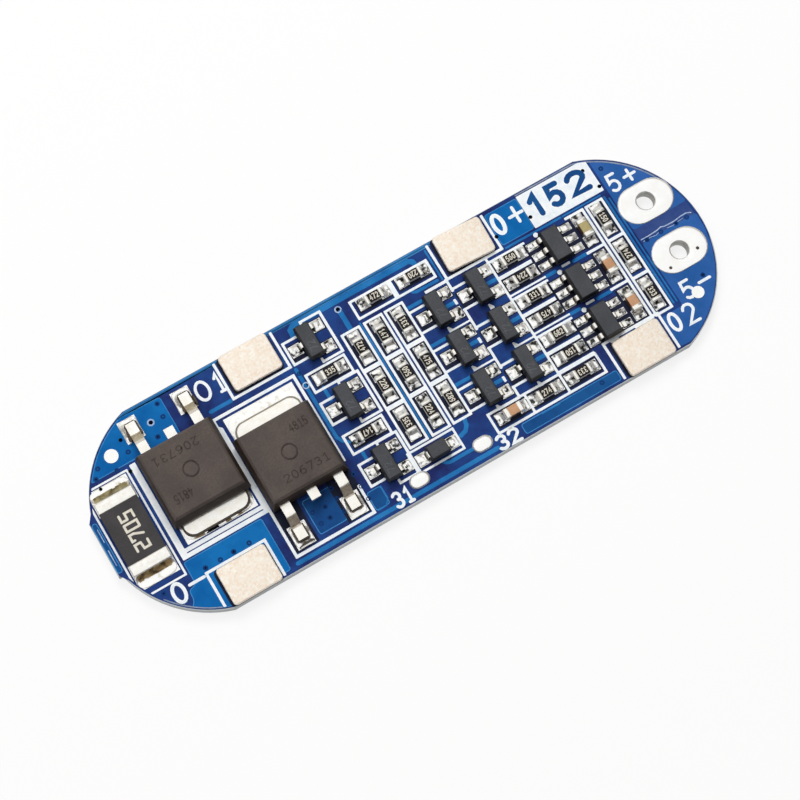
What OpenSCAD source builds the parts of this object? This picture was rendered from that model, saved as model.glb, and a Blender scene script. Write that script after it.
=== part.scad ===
// Battery management board for a small lithium pack. An oval circuit board
// carries two power transistors, a current shunt, three protection controllers
// with their small parts, four weld-on cell tabs and two wire terminals.
// Millimetres, +Z up, origin at the middle of the underside.

/* [Board] */
// Length over the two round ends
board_l = 53; // [52.6:0.2:56]
// Width between the two straight edges
board_w = 17.4; // [17.4:0.2:20]
// Thickness of the laminate with its solder mask
board_t = 1; // [0.8:0.1:1.6]
// Length of each straight edge
straight_l = 40.4; // [39:0.2:42]
// Width of the break-off stub left on one end
stub_w = 4.6; // [3:0.2:6]

/* [Terminals and tabs] */
// Diameter of the two plated wire holes
wire_hole_d = 1.5; // [1:0.1:2]
// Length of a wire terminal's land
terminal_l = 4.7; // [4:0.1:4.8]
// Width of a wire terminal's land
terminal_w = 3.2; // [2.6:0.1:3.4]
// Length of a nickel cell tab
tab_l = 4.15; // [3.6:0.05:4.4]
// Width of a nickel cell tab
tab_w = 3.1; // [2.6:0.1:3.1]
// Thickness of a nickel cell tab
tab_t = 0.3; // [0.15:0.05:0.5]

/* [Small parts] */
// Length of a chip resistor or capacitor
chip_l = 1.6; // [1.5:0.05:1.7]
// Width of a chip resistor or capacitor
chip_w = 0.8; // [0.7:0.05:0.9]
// Height of a chip resistor
resistor_h = 0.45; // [0.35:0.05:0.6]
// Height of a chip capacitor
capacitor_h = 0.8; // [0.5:0.05:0.9]
// Height of a power transistor's moulding
power_h = 2.3; // [2.2:0.05:2.4]

/* [Hidden] */
$fn = 48;
eps = 0.01;
land_t = 0.06;          // tinned copper above the laminate
land_z = board_t + land_t;
silk_t = 0.03;
silk_w = 0.2;
edge_clear = 0.2;       // lands and marks stop this far from the edge

// Round ends: one arc through each end point and the ends of the straight edges
kink_x = straight_l / 2;
end_sagitta = board_l / 2 - kink_x;
end_r = (end_sagitta^2 + (board_w / 2)^2) / (2 * end_sagitta);
end_x = board_l / 2 - end_r;

// Wire terminals: [x, y]
positive_at = [23.45, 2.98];
negative_at = [23.55, -1.8];
hole_r = wire_hole_d / 2;

// Small solder taps: [x, y] and their oval
taps = [[-3.42, -7.32], [2.15, -7.32]];
tap_size = [1.7, 1.15];
tap_t = 0.12;

// Cell tabs: [x, y, turn, x of the printed frame]
tab_row_y = 7.12;
cell_tabs = [[-18.05, -tab_row_y, 0, -18.27], [-9.9, tab_row_y, 0, -9.9],
             [9.15, tab_row_y - 0.07, -2.5, 9.1], [16.8, -tab_row_y, 0, 16.75]];
tab_corner_r = 0.3;
tab_solder_t = 0.06;
tab_z = land_z + tab_solder_t;

// Current shunt
shunt_at = [-23.92, 0.1];
shunt_l = 6.35;
shunt_w = 3.25;
shunt_h = 0.6;
shunt_end = 0.95;
shunt_land = [3.3, 2.1];
shunt_land_y = 3.2;

// Power transistors: [x, y, turn, reach of the large land, sideways slip of the lead lands],
// leads towards +y before the turn
mosfets = [[-17.87, 1.61, 0, 4.45, -0.12], [-10.93, -0.96, 180, 5.2, 0]];
power_w = 6.65;
power_d = 6.2;
power_parting = 1;
lead_pitch = 2.286;
lead_w = 0.8;
lead_t = 0.5;
slug_w = 5.35;
slug_end = 4.15;        // from the moulding's centre to the end of the slug
lead_tip = 5.89;        // from the moulding's centre to the toe of a lead
shoulder_z = 1.35;      // upper face of a lead where it leaves the moulding
power_lead_side = [[2.4, shoulder_z - lead_t], [3.85, shoulder_z - lead_t],
                   [4.1, shoulder_z - lead_t - 0.15], [4.62, 0.12], [4.85, 0],
                   [lead_tip, 0], [lead_tip, lead_t], [5.05, lead_t],
                   [4.9, lead_t + 0.08], [4.38, shoulder_z - 0.12], [4.12, shoulder_z],
                   [2.4, shoulder_z]];

// Small transistors: [x, y], one lead towards -x and two towards +x
transistor_rows = [3.45, -0.15, -3.75];
transistor_columns = [4.62, 8.32];
lone_transistors = [[-5.2, 6.22], [-5.05, 0.64], [-4.97, -4.97]];
shared_transistors = [for (x = transistor_columns, y = transistor_rows) [x, y]];
transistors = concat(lone_transistors, shared_transistors);
transistor_size = [1.3, 2.9, 1];
small_lead_w = 0.42;
small_lead_t = 0.13;
small_lead_pitch = 0.95;

// Protection controllers, six leads each
controller_x = 15.25;
controller_rows = [3.3, -0.26, -3.82];
controllers = [for (y = controller_rows) [controller_x, y]];
controller_size = [1.6, 2.9, 1.1];

// Chip resistors: [x, y, turn]
resistor_rows = [3.36, -0.17, -3.72];
resistors = concat(
    [[0.93, 6.88, 0], [4.42, 6.88, 0], [-4.99, 3.38, 0], [-4.95, -2.2, 0]],
    [for (y = resistor_rows, s = [1, -1]) [11.68, y + s * 0.88, 0]],
    [[8.42, -6.38, 0], [11.65, -6.4, 0]],
    [for (x = [-1.98, 0.02, 1.86], y = [3.88, 0.4, -3.06]) [x, y, 90]],
    [for (y = [3.38, -0.1, -3.68]) [19.73, y, 90]]);

// Chip capacitors: [x, y, turn]
capacitors = concat([for (y = [3.36, -0.13, -3.62]) [17.97, y, 90]], [[5.42, -6.36, 0]]);
chip_end = 0.3;
chip_land = [0.92, 0.95];
chip_land_x = 0.96;

// Diode across the lower row
diode_at = [-1.1, -6.08];
diode_size = [1.7, 1.25, 0.95];

// Open vias: [x, y]
vias = [[-21.35, 6.8], [-18.72, 6.85], [-21.87, 4.3], [-7.12, 3.42], [-1.95, 7.45],
        [11.75, 6.35], [14.9, 6.4], [20.5, 7.62], [20.95, 5.85]];
via_r = 0.16;

numbered = function (name, count) [for (i = [1:count]) str(name, "_", i)];

// ---- shared shapes ----

module rounded_rect(size, r) {
    square([size.x - 2 * r, size.y], center = true);
    square([size.x, size.y - 2 * r], center = true);
    for (sx = [-1, 1], sy = [-1, 1])
        translate([sx * (size.x / 2 - r), sy * (size.y / 2 - r)]) circle(r);
}

module oval(size) {
    rounded_rect(size, size.y / 2 - eps);
}

// The board's outline, pulled in by inset all round
module outline(inset = 0) {
    intersection() {
        square([board_l - 2 * inset, board_w - 2 * inset], center = true);
        union() {
            square([2 * kink_x, board_w], center = true);
            for (s = [-1, 1]) translate([s * end_x, 0]) circle(end_r - inset, $fn = 180);
            translate([-board_l / 2, -stub_w / 2]) square([kink_x, stub_w]);
        }
    }
}

// A prism whose side view is drawn as [distance, height] points
module side_profile(points, width) {
    rotate([90, 0, 0]) linear_extrude(width, center = true) polygon(points);
}

// Moulded body: two drafted halves that meet at a parting line, edges broken on top
module moulding(size, parting, draft, edge, floor = 0.05) {
    function half_view(w) = [
        [-w / 2 + draft / 2, floor], [w / 2 - draft / 2, floor], [w / 2, parting],
        [w / 2 - draft, size.z - edge], [w / 2 - draft - edge, size.z],
        [-w / 2 + draft + edge, size.z], [-w / 2 + draft, size.z - edge], [-w / 2, parting]];
    intersection() {
        side_profile(half_view(size.x), size.y + 1);
        rotate(90) side_profile(half_view(size.y), size.x + 1);
    }
}

// Gull-wing lead from inside a body to a toe at reach, along +x
module gull_lead(body_half, reach, w) {
    shoulder = 0.5;
    side_profile([[body_half - 0.2, shoulder], [body_half + 0.12, shoulder],
                  [body_half + 0.24, 0], [reach, 0], [reach, small_lead_t],
                  [body_half + 0.36, small_lead_t], [body_half + 0.24, shoulder + small_lead_t],
                  [body_half - 0.2, shoulder + small_lead_t]], w);
}

// Concave solder fillet that climbs a wall at x = 0 and runs out along +x
module fillet(run, rise, w) {
    side_profile([[0, 0], [run, 0], [run * 0.5, rise * 0.16], [run * 0.2, rise * 0.45],
                  [0, rise]], w);
}

module place(p) {
    translate([p.x, p.y, land_z]) rotate(is_undef(p[2]) ? 0 : p[2]) children();
}

// ---- board, lands and terminals ----

module board() {
    color("#1565ab") difference() {
        linear_extrude(board_t) outline();
        for (p = [positive_at, negative_at]) translate(p) {
            translate([0, 0, -eps]) cylinder(h = board_t + 2 * eps, r = hole_r);
            translate([0, 0, -eps])
                linear_extrude(land_t + eps) oval([terminal_l, terminal_w]);
        }
        for (p = vias) translate([p.x, p.y, -eps])
            cylinder(h = board_t + 2 * eps, r = via_r, $fn = 16);
    }
}

// An oval land round the wire hole on each face; the lower one is flush
module terminal(p) {
    color("#e9e9e4") translate(p) difference() {
        for (z = [0, board_t])
            translate([0, 0, z]) linear_extrude(land_t) oval([terminal_l, terminal_w]);
        translate([0, 0, -eps]) cylinder(h = land_z + 2 * eps, r = hole_r);
    }
}

module tap_pad(p) {
    color("#f1f1ec") translate([p.x, p.y, board_t]) linear_extrude(tap_t) oval(tap_size);
}

module land(x, y, size) {
    translate([x, y]) square(size, center = true);
}

module chip_lands(p) {
    translate([p.x, p.y]) rotate(p[2]) for (s = [-1, 1]) land(s * chip_land_x, 0, chip_land);
}

module small_transistor_lands(p) {
    land(p.x - 1.2, p.y, [0.95, 0.95]);
    for (s = [-1, 1]) land(p.x + 1.2, p.y + s * small_lead_pitch, [0.95, 0.92]);
}

module controller_lands(p) {
    for (sx = [-1, 1], sy = [-1:1])
        land(p.x + sx * 1.5, p.y + sy * small_lead_pitch, [0.95, 0.6]);
}

module power_lands(p) {
    translate([p.x, p.y]) rotate(p[2]) {
        translate([-3, -p[3]]) square([6, p[3] + 1.55]);
        for (s = [-1, 1]) land(s * lead_pitch + p[4], 5.5, [1.5, 1.9]);
    }
}

// Every bare tinned spot on the upper face, apart from the wire terminals and taps
module land_plan() {
    intersection() {
        outline(edge_clear);
        union() {
            for (p = resistors) chip_lands(p);
            for (p = capacitors) chip_lands(p);
            for (p = transistors) small_transistor_lands(p);
            for (p = controllers) controller_lands(p);
            for (p = mosfets) power_lands(p);
            for (s = [-1, 1]) {
                land(shunt_at.x, shunt_at.y + s * shunt_land_y, shunt_land);
                land(diode_at.x + s * 1.3, diode_at.y, [0.95, 1]);
            }
            for (p = cell_tabs) land(p.x, p.y, [tab_l - 0.3, tab_w - 0.4]);
            // positioning dots for the assembly machine
            translate([-22.55, 6.05]) circle(0.55);
            translate([22.9, -5.45]) circle(0.5);
        }
    }
}

module solder_lands() {
    color("#e4e4df") translate([0, 0, board_t]) linear_extrude(land_t) land_plan();
}

// ---- cell tabs ----

module tab_solder() {
    color("#c9c9c4") for (p = cell_tabs)
        translate([p.x, p.y, land_z]) linear_extrude(tab_solder_t)
            square([tab_l - 0.3, tab_w - 0.4], center = true);
}

module cell_tab(p) {
    color("#eadfd0") translate([p.x, p.y, tab_z]) rotate(p[2])
        linear_extrude(tab_t) rounded_rect([tab_l, tab_w], tab_corner_r);
}

// ---- power parts ----

module shunt() {
    body_l = shunt_l - 2 * shunt_end;
    color("#2e2c2d") place(shunt_at) translate([-shunt_w / 2, -body_l / 2, 0.03])
        cube([shunt_w, body_l, shunt_h - 0.03]);
    color("#f0f0ea") for (s = [-1, 1])
        place(shunt_at) translate([0, s * (shunt_l - shunt_end) / 2, (shunt_h + 0.02) / 2])
            cube([shunt_w + 0.04, shunt_end, shunt_h + 0.02], center = true);
}

module slug_plate() {
    r = 0.8;
    linear_extrude(lead_t) {
        translate([-slug_w / 2, -slug_end + r]) square([slug_w, 5.6]);
        translate([-slug_w / 2 + r, -slug_end]) square([slug_w - 2 * r, 2]);
        for (s = [-1, 1]) translate([s * (slug_w / 2 - r), -slug_end + r]) circle(r);
    }
}

module power_leads() {
    for (s = [-1, 1]) translate([s * lead_pitch, 0, 0])
        rotate(90) side_profile(power_lead_side, lead_w);
    // the middle lead is cropped short
    translate([-lead_w / 2 - 0.03, 2.4, shoulder_z - lead_t]) cube([lead_w + 0.06, 1.48, lead_t]);
}

module mosfet_lead_frame(p) {
    color("#eeeee8") place(p) {
        slug_plate();
        power_leads();
    }
}

module mosfet_moulding(p) {
    ring_r = 0.66;
    color("#4a4440") place(p) difference() {
        moulding([power_w, power_d, power_h], power_parting, 0.22, 0.18, 0);
        slug_plate();
        power_leads();
        translate([0, 0, power_h - 0.05]) difference() {
            cylinder(h = 1, r = ring_r);
            translate([0, 0, -1]) cylinder(h = 3, r = ring_r - 0.12);
        }
    }
}

// ---- small parts ----

module transistor(p) {
    reach = 1.22;
    half = transistor_size.x / 2;
    place(p) {
        color("#45474a") moulding(transistor_size, 0.55, 0.09, 0.04);
        color("#eeeee8") {
            rotate(180) gull_lead(half, reach, small_lead_w);
            for (s = [-1, 1]) translate([0, s * small_lead_pitch, 0])
                gull_lead(half, reach, small_lead_w);
        }
    }
}

module controller(p) {
    reach = 1.4;
    half = controller_size.x / 2;
    place(p) {
        color("#4a4a48") moulding(controller_size, 0.55, 0.11, 0.04);
        color("#eeeee8") for (a = [0, 180], y = [-1:1])
            rotate(a) translate([0, y * small_lead_pitch, 0]) gull_lead(half, reach, small_lead_w);
    }
}

module chip(p, h, body_colour, cap_in) {
    place(p) {
        color(body_colour) translate([-chip_l / 2 + cap_in, -chip_w / 2 + cap_in, cap_in])
            cube([chip_l - 2 * cap_in, chip_w - 2 * cap_in, h - 2 * cap_in]);
        color("#f0f0ea") for (s = [-1, 1])
            translate([s * (chip_l - chip_end) / 2, 0, h / 2])
                cube([chip_end, chip_w, h], center = true);
    }
}

module diode() {
    reach = 1.27;
    place(diode_at) {
        color("#4a4644") moulding(diode_size, 0.45, 0.07, 0.04);
        color("#eeeee8") for (a = [0, 180])
            rotate(a) gull_lead(diode_size.x / 2 - 0.12, reach, 0.35);
    }
}

// ---- solder and print ----

module solder_joints() {
    lead_toe = 0.25;
    color("#d5d5cf") {
        for (p = concat(resistors, capacitors), a = [0, 180])
            place(p) rotate(a) translate([chip_l / 2, 0, 0]) fillet(0.5, 0.33, chip_w - 0.06);
        for (p = transistors) place(p) {
            rotate(180) translate([1.22, 0, 0]) fillet(lead_toe, 0.13, 0.5);
            for (s = [-1, 1]) translate([1.22, s * small_lead_pitch, 0])
                fillet(lead_toe, 0.13, 0.5);
        }
        for (p = controllers, a = [0, 180], y = [-1:1]) place(p)
            rotate(a) translate([1.4, y * small_lead_pitch, 0]) fillet(lead_toe, 0.13, 0.46);
        for (p = mosfets) place(p) {
            for (s = [-1, 1]) translate([s * lead_pitch, lead_tip, 0])
                rotate(90) fillet(0.35, 0.4, 1);
            translate([0, -slug_end, 0]) rotate(-90) fillet(0.28, 0.4, 3.6);
        }
        for (s = [-1, 1]) place(shunt_at) translate([0, s * shunt_l / 2, 0])
            rotate(s * 90) fillet(0.7, 0.5, shunt_w - 0.3);
        for (a = [0, 180]) place(diode_at) rotate(a) translate([1.27, 0, 0])
            fillet(lead_toe, 0.13, 0.5);
    }
}

module strip(x0, y0, x1, y1) {
    translate([x0, y0]) square([x1 - x0, y1 - y0]);
}

module frame_mark(x0, y0, x1, y1, w = silk_w) {
    difference() {
        strip(x0, y0, x1, y1);
        strip(x0 + w, y0 + w, x1 - w, y1 - w);
    }
}

// Two brackets round a small transistor: a low one at its single lead, a tall one at the pair
module transistor_marks(p) {
    translate(p) {
        for (s = [-1, 1]) {
            strip(-1.95, s * 0.95 - 0.1, -0.62, s * 0.95 + 0.1);
            strip(0.1, s * 1.82 - 0.1, 2.02, s * 1.82 + 0.1);
            strip(0.1, s * 1.6 - 0.13, 0.3, s * 1.6 + 0.13);
        }
        strip(-1.95, -0.95, -1.75, 0.95);
        strip(1.8, -1.82, 2.02, 1.82);
    }
}

// Where two columns of small transistors share their brackets, the line between the
// columns breaks at each single lead, and a corner tick marks each body
module shared_marks() {
    line_x = 6.39;
    for (p = shared_transistors) translate(p) {
        for (s = [-1, 1]) strip(-1.95, s * 0.95 - 0.1, -0.62, s * 0.95 + 0.1);
        polygon([[-0.07, -1.98], [0.3, -1.98], [0.3, -1.83], [0.07, -1.5], [-0.07, -1.5]]);
    }
    for (y = transistor_rows) {
        x = transistor_columns[0];
        strip(x, y - 1.98, line_x + 0.1, y - 1.83);
        strip(x + 1.5, y - 0.3, x + 1.72, y + 0.18);
        strip(line_x, y + 0.75, line_x + 0.21, y + 1.95);
        strip(line_x, y - 1.95, line_x + 0.21, y - 0.85);
    }
    strip(4.55, 5.1, 6.6, 5.34);
    strip(8.25, -2.13, 10, -1.98);
}

// Three strips round a cell tab, open towards the board's edge
module tab_marks(p) {
    side = sign(p.y);
    mark_w = 5.2;
    inner = 5.18;
    for (s = [-1, 1]) translate([p[3] + s * (mark_w - 0.22) / 2, side * (inner + 1.7)])
        square([0.22, 3.4], center = true);
    translate([p[3], side * (inner + 0.11)]) square([mark_w, 0.22], center = true);
}

module power_marks() {
    // round the shunt
    frame_mark(-25.85, -4.75, -22, 4.6, 0.16);
    // round the first power transistor
    strip(-21.75, -3.7, -21.25, 4.75);
    strip(-21.25, -3.7, -14.7, -3.36);
    strip(-21.25, -3.27, -14.7, -2.95);
    strip(-14.7, -3.7, -14.45, 4.7);
    // round the second
    polygon([[-14.45, -7.85], [-14.22, -7.85], [-14.22, 3.72], [-14.45, 3.95]]);
    strip(-14.45, 4.45, -7.45, 4.7);
    strip(-7.7, -3.2, -7.45, 4.45);
    strip(-7.72, -7.6, -7.5, -5.3);
    strip(-14.22, -7.85, -7.5, -7.6);
}

module chip_marks() {
    // pair at the upper edge
    frame_mark(-1, 5.85, 6.05, 7.58);
    strip(2.35, 6.05, 2.75, 7.38);
    // single ones beside the small transistors
    frame_mark(-6.87, 2.45, -3.3, 4.2);
    frame_mark(-6.82, -3.2, -3.25, -1.38);
    // three columns of three
    for (x = [-2.87, -0.88, 0.98]) {
        frame_mark(x, -4.95, x + 1.72, 5.55);
        for (y = [1.95, -1.52]) strip(x, y, x + 1.72, y + 0.35);
    }
    // six in a column, in pairs
    strip(9.95, -5.5, 10.15, 5.35);
    for (y = resistor_rows) {
        strip(10.15, y + 1.37, 13.35, y + 1.56);
        strip(10.15, y - 0.24, 13.08, y + 0.06);
        strip(10.15, y - 1.82, 13.35, y - 1.66);
    }
    // lower row
    frame_mark(3.55, -7.38, 13.42, -5.5);
    for (x = [6.8, 9.95]) strip(x, -7.18, x + 0.2, -5.7);
    // diode
    frame_mark(-3.3, -7, 0.87, -5.05, 0.18);
    // right-hand capacitors and resistors
    for (y = [4.77, 1.48, -1.98, -5.5]) strip(17.1, y, 18.85, y + 0.22);
    strip(18.63, -5.5, 18.85, 4.99);
    frame_mark(18.98, -5.5, 20.62, 4.99);
    for (y = [1.48, -2.1]) strip(19.18, y, 20.42, y + 0.25);
}

module silkscreen() {
    color("#eef2f6") translate([0, 0, board_t]) linear_extrude(silk_t)
        difference() {
            intersection() {
                outline(edge_clear);
                union() {
                    power_marks();
                    chip_marks();
                    for (p = lone_transistors) transistor_marks(p);
                    shared_marks();
                    for (p = cell_tabs) tab_marks(p);
                    for (p = controllers) {
                        strip(p.x - 0.4, p.y - 1.72, p.x + 0.35, p.y - 1.52);
                        translate([p.x - 0.78, p.y + 1.62]) circle(0.2);
                    }
                    // the field that carries the rating
                    strip(14.75, 5.4, 21.1, 8.4);
                }
            }
            for (p = vias) translate(p) circle(via_r, $fn = 16);
            for (p = taps) translate(p) oval(tap_size);
            land_plan();
        }
}

board();
solder_lands();
terminal(positive_at);  // positive_terminal
terminal(negative_at);  // negative_terminal
for (i = [1:len(taps)])
    tap_pad(taps[i - 1]);
for (i = [1:len(cell_tabs)])
    cell_tab(cell_tabs[i - 1]);
tab_solder();
shunt();
for (i = [1:len(mosfets)]) {
    mosfet_moulding(mosfets[i - 1]);
    mosfet_lead_frame(mosfets[i - 1]);
}
for (i = [1:len(transistors)])
    transistor(transistors[i - 1]);
for (i = [1:len(controllers)])
    controller(controllers[i - 1]);
for (i = [1:len(resistors)])
    chip(resistors[i - 1], resistor_h, "#26262a", 0.015);
for (i = [1:len(capacitors)])
    chip(capacitors[i - 1], capacitor_h, "#c48a55", 0.03);
diode();
solder_joints();
silkscreen();
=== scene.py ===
# %% [markdown]
# # A battery management board
# This notebook dresses the solid model of a small oval protection board. The solids give
# every part its true place and size. Here each part gets the shape detail and the finish
# that an eye notices: ink, mask, tin, solder, epoxy and nickel.

# %% Load the solid model
import math

import bmesh
import bpy
from mathutils import Matrix, Vector, noise


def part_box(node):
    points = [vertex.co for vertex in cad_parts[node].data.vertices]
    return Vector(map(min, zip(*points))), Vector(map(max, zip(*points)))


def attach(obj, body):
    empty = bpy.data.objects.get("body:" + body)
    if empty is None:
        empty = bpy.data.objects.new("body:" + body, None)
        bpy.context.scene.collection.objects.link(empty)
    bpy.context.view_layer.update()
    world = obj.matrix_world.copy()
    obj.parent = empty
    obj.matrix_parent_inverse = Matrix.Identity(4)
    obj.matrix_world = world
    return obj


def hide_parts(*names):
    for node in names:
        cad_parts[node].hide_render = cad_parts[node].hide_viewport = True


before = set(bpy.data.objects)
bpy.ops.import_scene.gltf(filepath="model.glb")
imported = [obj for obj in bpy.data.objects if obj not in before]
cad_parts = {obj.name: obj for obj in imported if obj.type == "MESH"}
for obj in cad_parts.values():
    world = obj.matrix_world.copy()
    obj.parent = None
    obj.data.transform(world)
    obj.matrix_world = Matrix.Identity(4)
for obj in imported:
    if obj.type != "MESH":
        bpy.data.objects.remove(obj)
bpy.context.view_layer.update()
print("nodes in the frame:", len(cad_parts))

# %% [markdown]
# ## Units and a few small helpers
# Circuit boards are drawn in millimetres, and Blender's file is in metres. All lists of
# points below are in millimetres and are scaled once, when a mesh is made.

# %% Helpers for colour, nodes and meshes
MM = 0.001
MIX_A, MIX_B, MIX_OUT = 6, 7, 2     # colour sockets of a Mix node, which share their names
WAVE_PERIOD = 0.314                 # length of one band of a Wave texture at scale 1
WELD = 1e-6                         # corners closer than this many metres are one corner
SMOOTH_ANGLE = 40                   # faces that meet at less than this, in degrees, shade as one


def srgb(code):
    """A hex colour as the linear values that shaders use."""
    parts = [int(code[i:i + 2], 16) / 255 for i in (1, 3, 5)]
    return [c / 12.92 if c <= 0.04045 else ((c + 0.055) / 1.055) ** 2.4 for c in parts] + [1]


def add_node(tree, kind, inputs=None, **settings):
    """One node with its settings. An input is a plain value, or a socket to link from."""
    node = tree.nodes.new(kind)
    for name, value in settings.items():
        setattr(node, name, value)
    for key, value in (inputs or {}).items():
        if isinstance(value, bpy.types.NodeSocket):
            tree.links.new(value, node.inputs[key])
        else:
            node.inputs[key].default_value = value
    return node


def new_material(name, colour=None, rough=None, specular=None):
    """A material, its tree, its surface shader and its object coordinates. The given values
    are the same all over the surface, so they go on the shader's own sockets."""
    material = bpy.data.materials.new(name)
    material.use_nodes = True
    tree = material.node_tree
    shader = tree.nodes["Principled BSDF"]
    for socket, value in (("Base Color", colour and srgb(colour)), ("Roughness", rough),
                          ("Specular IOR Level", specular)):
        if value is not None:
            shader.inputs[socket].default_value = value
    place = add_node(tree, "ShaderNodeTexCoord").outputs["Object"]
    return material, tree, shader, place


def cloud(tree, place, size, detail, roughness=0.5):
    """Soft noise whose patches have the given size in metres."""
    field = add_node(tree, "ShaderNodeTexNoise", {"Vector": place, "Scale": 1 / size,
                                                  "Detail": detail, "Roughness": roughness})
    return field.outputs["Fac"]


def tone(tree, factor, dark, light, low=0.0, high=1.0):
    """A colour that runs from dark to light as the factor runs from low to high."""
    ramp = add_node(tree, "ShaderNodeValToRGB", {"Fac": factor})
    for stop, position, code in zip(ramp.color_ramp.elements, (low, high), (dark, light)):
        stop.position = position
        stop.color = srgb(code)
    return ramp.outputs["Color"]


def relief(tree, shader, height, strength, depth):
    """Shallow relief all over a surface; its depth is in metres."""
    bump = add_node(tree, "ShaderNodeBump", {"Height": height, "Strength": strength,
                                             "Distance": depth})
    tree.links.new(bump.outputs["Normal"], shader.inputs["Normal"])


def repaint(node, material):
    """Gives a CAD node one material in place of its own."""
    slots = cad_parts[node].data.materials
    slots.clear()
    slots.append(material)


def cad(node, axis, side):
    """A coordinate of a node's box in millimetres; side 0 is low and 1 is high."""
    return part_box(node)[side][axis] / MM


BOARD_TOP = cad("board", 2, 1)
LAND_TOP = cad("solder_lands", 2, 1)
INK_TOP = cad("silkscreen", 2, 1)
print("heights of board, lands and ink:", [round(z, 3) for z in (BOARD_TOP, LAND_TOP, INK_TOP)])

# %% [markdown]
# ## A builder for flat things
# Copper, ink, tabs and moulded bodies are all outlines with some height. `plate` stacks
# copies of one outline, each pulled in a little and raised, and closes both ends. The pulled-in
# rings give soft shoulders, which catch light as real etched and moulded edges do.


# %% Outlines, plates and strokes
def pulled_in(outline, inset):
    """A closed outline, counter-clockwise, moved inwards by inset at every corner."""
    if not inset:
        return list(outline)
    moved, count = [], len(outline)
    for i in range(count):
        before, here, after = (Vector(outline[(i + k) % count]) for k in (-1, 0, 1))
        a, b = (here - before).normalized(), (after - here).normalized()
        bisector = Vector((-a.y - b.y, a.x + b.x))
        if bisector.length < 1e-6:
            bisector = Vector((-a.y, a.x))
        bisector.normalize()
        reach = inset / max(0.35, bisector.dot(Vector((-a.y, a.x))))
        moved.append(tuple(here + bisector * reach))
    return moved


def rounded(corners, radius, steps=4):
    """A closed outline whose corners are arcs of about the given radius."""
    outline, count = [], len(corners)
    for i in range(count):
        before, here, after = (Vector(corners[(i + k) % count]) for k in (-1, 0, 1))
        cut = min(radius, (here - before).length / 2.01, (after - here).length / 2.01)
        start = here + (before - here).normalized() * cut
        end = here + (after - here).normalized() * cut
        for k in range(steps + 1):
            t = k / steps
            outline.append(tuple(start * (1 - t) ** 2 + here * 2 * t * (1 - t) + end * t ** 2))
    return outline


def rectangle(x0, y0, x1, y1, radius=0.0, steps=4):
    corners = [(x0, y0), (x1, y0), (x1, y1), (x0, y1)]
    return rounded(corners, radius, steps) if radius else corners


def centred(x, y, length, width, radius, turn=0.0, steps=4):
    """A rectangle about a point, turned by an angle in degrees."""
    c, s = math.cos(math.radians(turn)), math.sin(math.radians(turn))
    box = rectangle(-length / 2, -width / 2, length / 2, width / 2, radius, steps)
    return [(x + c * u - s * v, y + s * u + c * v) for u, v in box]


def block(x, y, length, width, radius, turn=0.0, steps=4):
    """A turned rectangle as a function of the inset; its corners get tighter as it shrinks."""
    def ring(inset):
        return centred(x, y, length - 2 * inset, width - 2 * inset, max(radius - inset, 0.01), turn,
                       steps)
    return ring


def plate(bm, outline, profile, slot=0, smooth=False, side_slot=None):
    """Stacks an outline at each (inset, height) of profile and closes both ends.
    The outline is a list of points, or a function that gives them for an inset."""
    rings = []
    for inset, z in profile:
        ring = outline(inset) if callable(outline) else pulled_in(outline, inset)
        rings.append([bm.verts.new((x * MM, y * MM, z * MM)) for x, y in ring])
    count = len(rings[0])
    faces = [bm.faces.new(list(reversed(rings[0]))), bm.faces.new(rings[-1])]
    for low, high in zip(rings, rings[1:]):
        for i in range(count):
            j = (i + 1) % count
            faces.append(bm.faces.new((low[i], low[j], high[j], high[i])))
    for number, face in enumerate(faces):
        face.material_index = slot if number < 2 or side_slot is None else side_slot
        face.smooth = smooth
    return rings


def stroke_outline(points, width, steps=6):
    """The outline of a pen stroke with round ends."""
    path = [Vector(p) for p in points]
    left, right = [], []
    for i, here in enumerate(path):
        a = (here - path[i - 1]).normalized() if i else None
        b = (path[i + 1] - here).normalized() if i + 1 < len(path) else None
        a, b = a or b, b or a
        across = Vector((-a.y - b.y, a.x + b.x)).normalized()
        reach = width / 2 / max(0.5, across.dot(Vector((-a.y, a.x))))
        left.append(here + across * reach)
        right.append(here - across * reach)

    def end_cap(centre, start):
        radius = start - centre
        turn = [Matrix.Rotation(-math.pi * k / steps, 2) for k in range(1, steps)]
        return [centre + m @ radius for m in turn]

    ring = left + end_cap(path[-1], left[-1]) + right[::-1] + end_cap(path[0], right[0])
    return [tuple(p) for p in reversed(ring)]


def finished(name, bm, materials, bevel=0.0, segments=2, angle=30,
             smooth_angle=SMOOTH_ANGLE):
    """Turns a bmesh into an object that rides on the board. Edges sharper than angle get the
    bevel, whose width is in millimetres."""
    mesh = bpy.data.meshes.new(name)
    if bevel:
        sharp = [e for e in bm.edges if len(e.link_faces) == 2
                 and e.calc_face_angle(0) > math.radians(angle)]
        bmesh.ops.bevel(bm, geom=sharp, offset=bevel * MM, segments=segments,
                        affect="EDGES", profile=0.6, clamp_overlap=True)
        for face in bm.faces:
            face.smooth = True
    bm.to_mesh(mesh)
    bm.free()
    if smooth_angle:
        mesh.set_sharp_from_angle(angle=math.radians(smooth_angle))
    for material in materials:
        mesh.materials.append(material)
    piece = bpy.data.objects.new(name, mesh)
    bpy.context.scene.collection.objects.link(piece)
    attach(piece, "root")
    return piece


def of_node(node):
    """A welded copy of a CAD node's mesh, with flat areas merged into single faces."""
    bm = bmesh.new()
    bm.from_mesh(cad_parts[node].data)
    bmesh.ops.remove_doubles(bm, verts=bm.verts, dist=WELD)
    bmesh.ops.dissolve_limit(bm, angle_limit=math.radians(1), verts=bm.verts, edges=bm.edges)
    for face in bm.faces:
        face.material_index = 0
    return bm


print("helpers ready")

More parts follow.
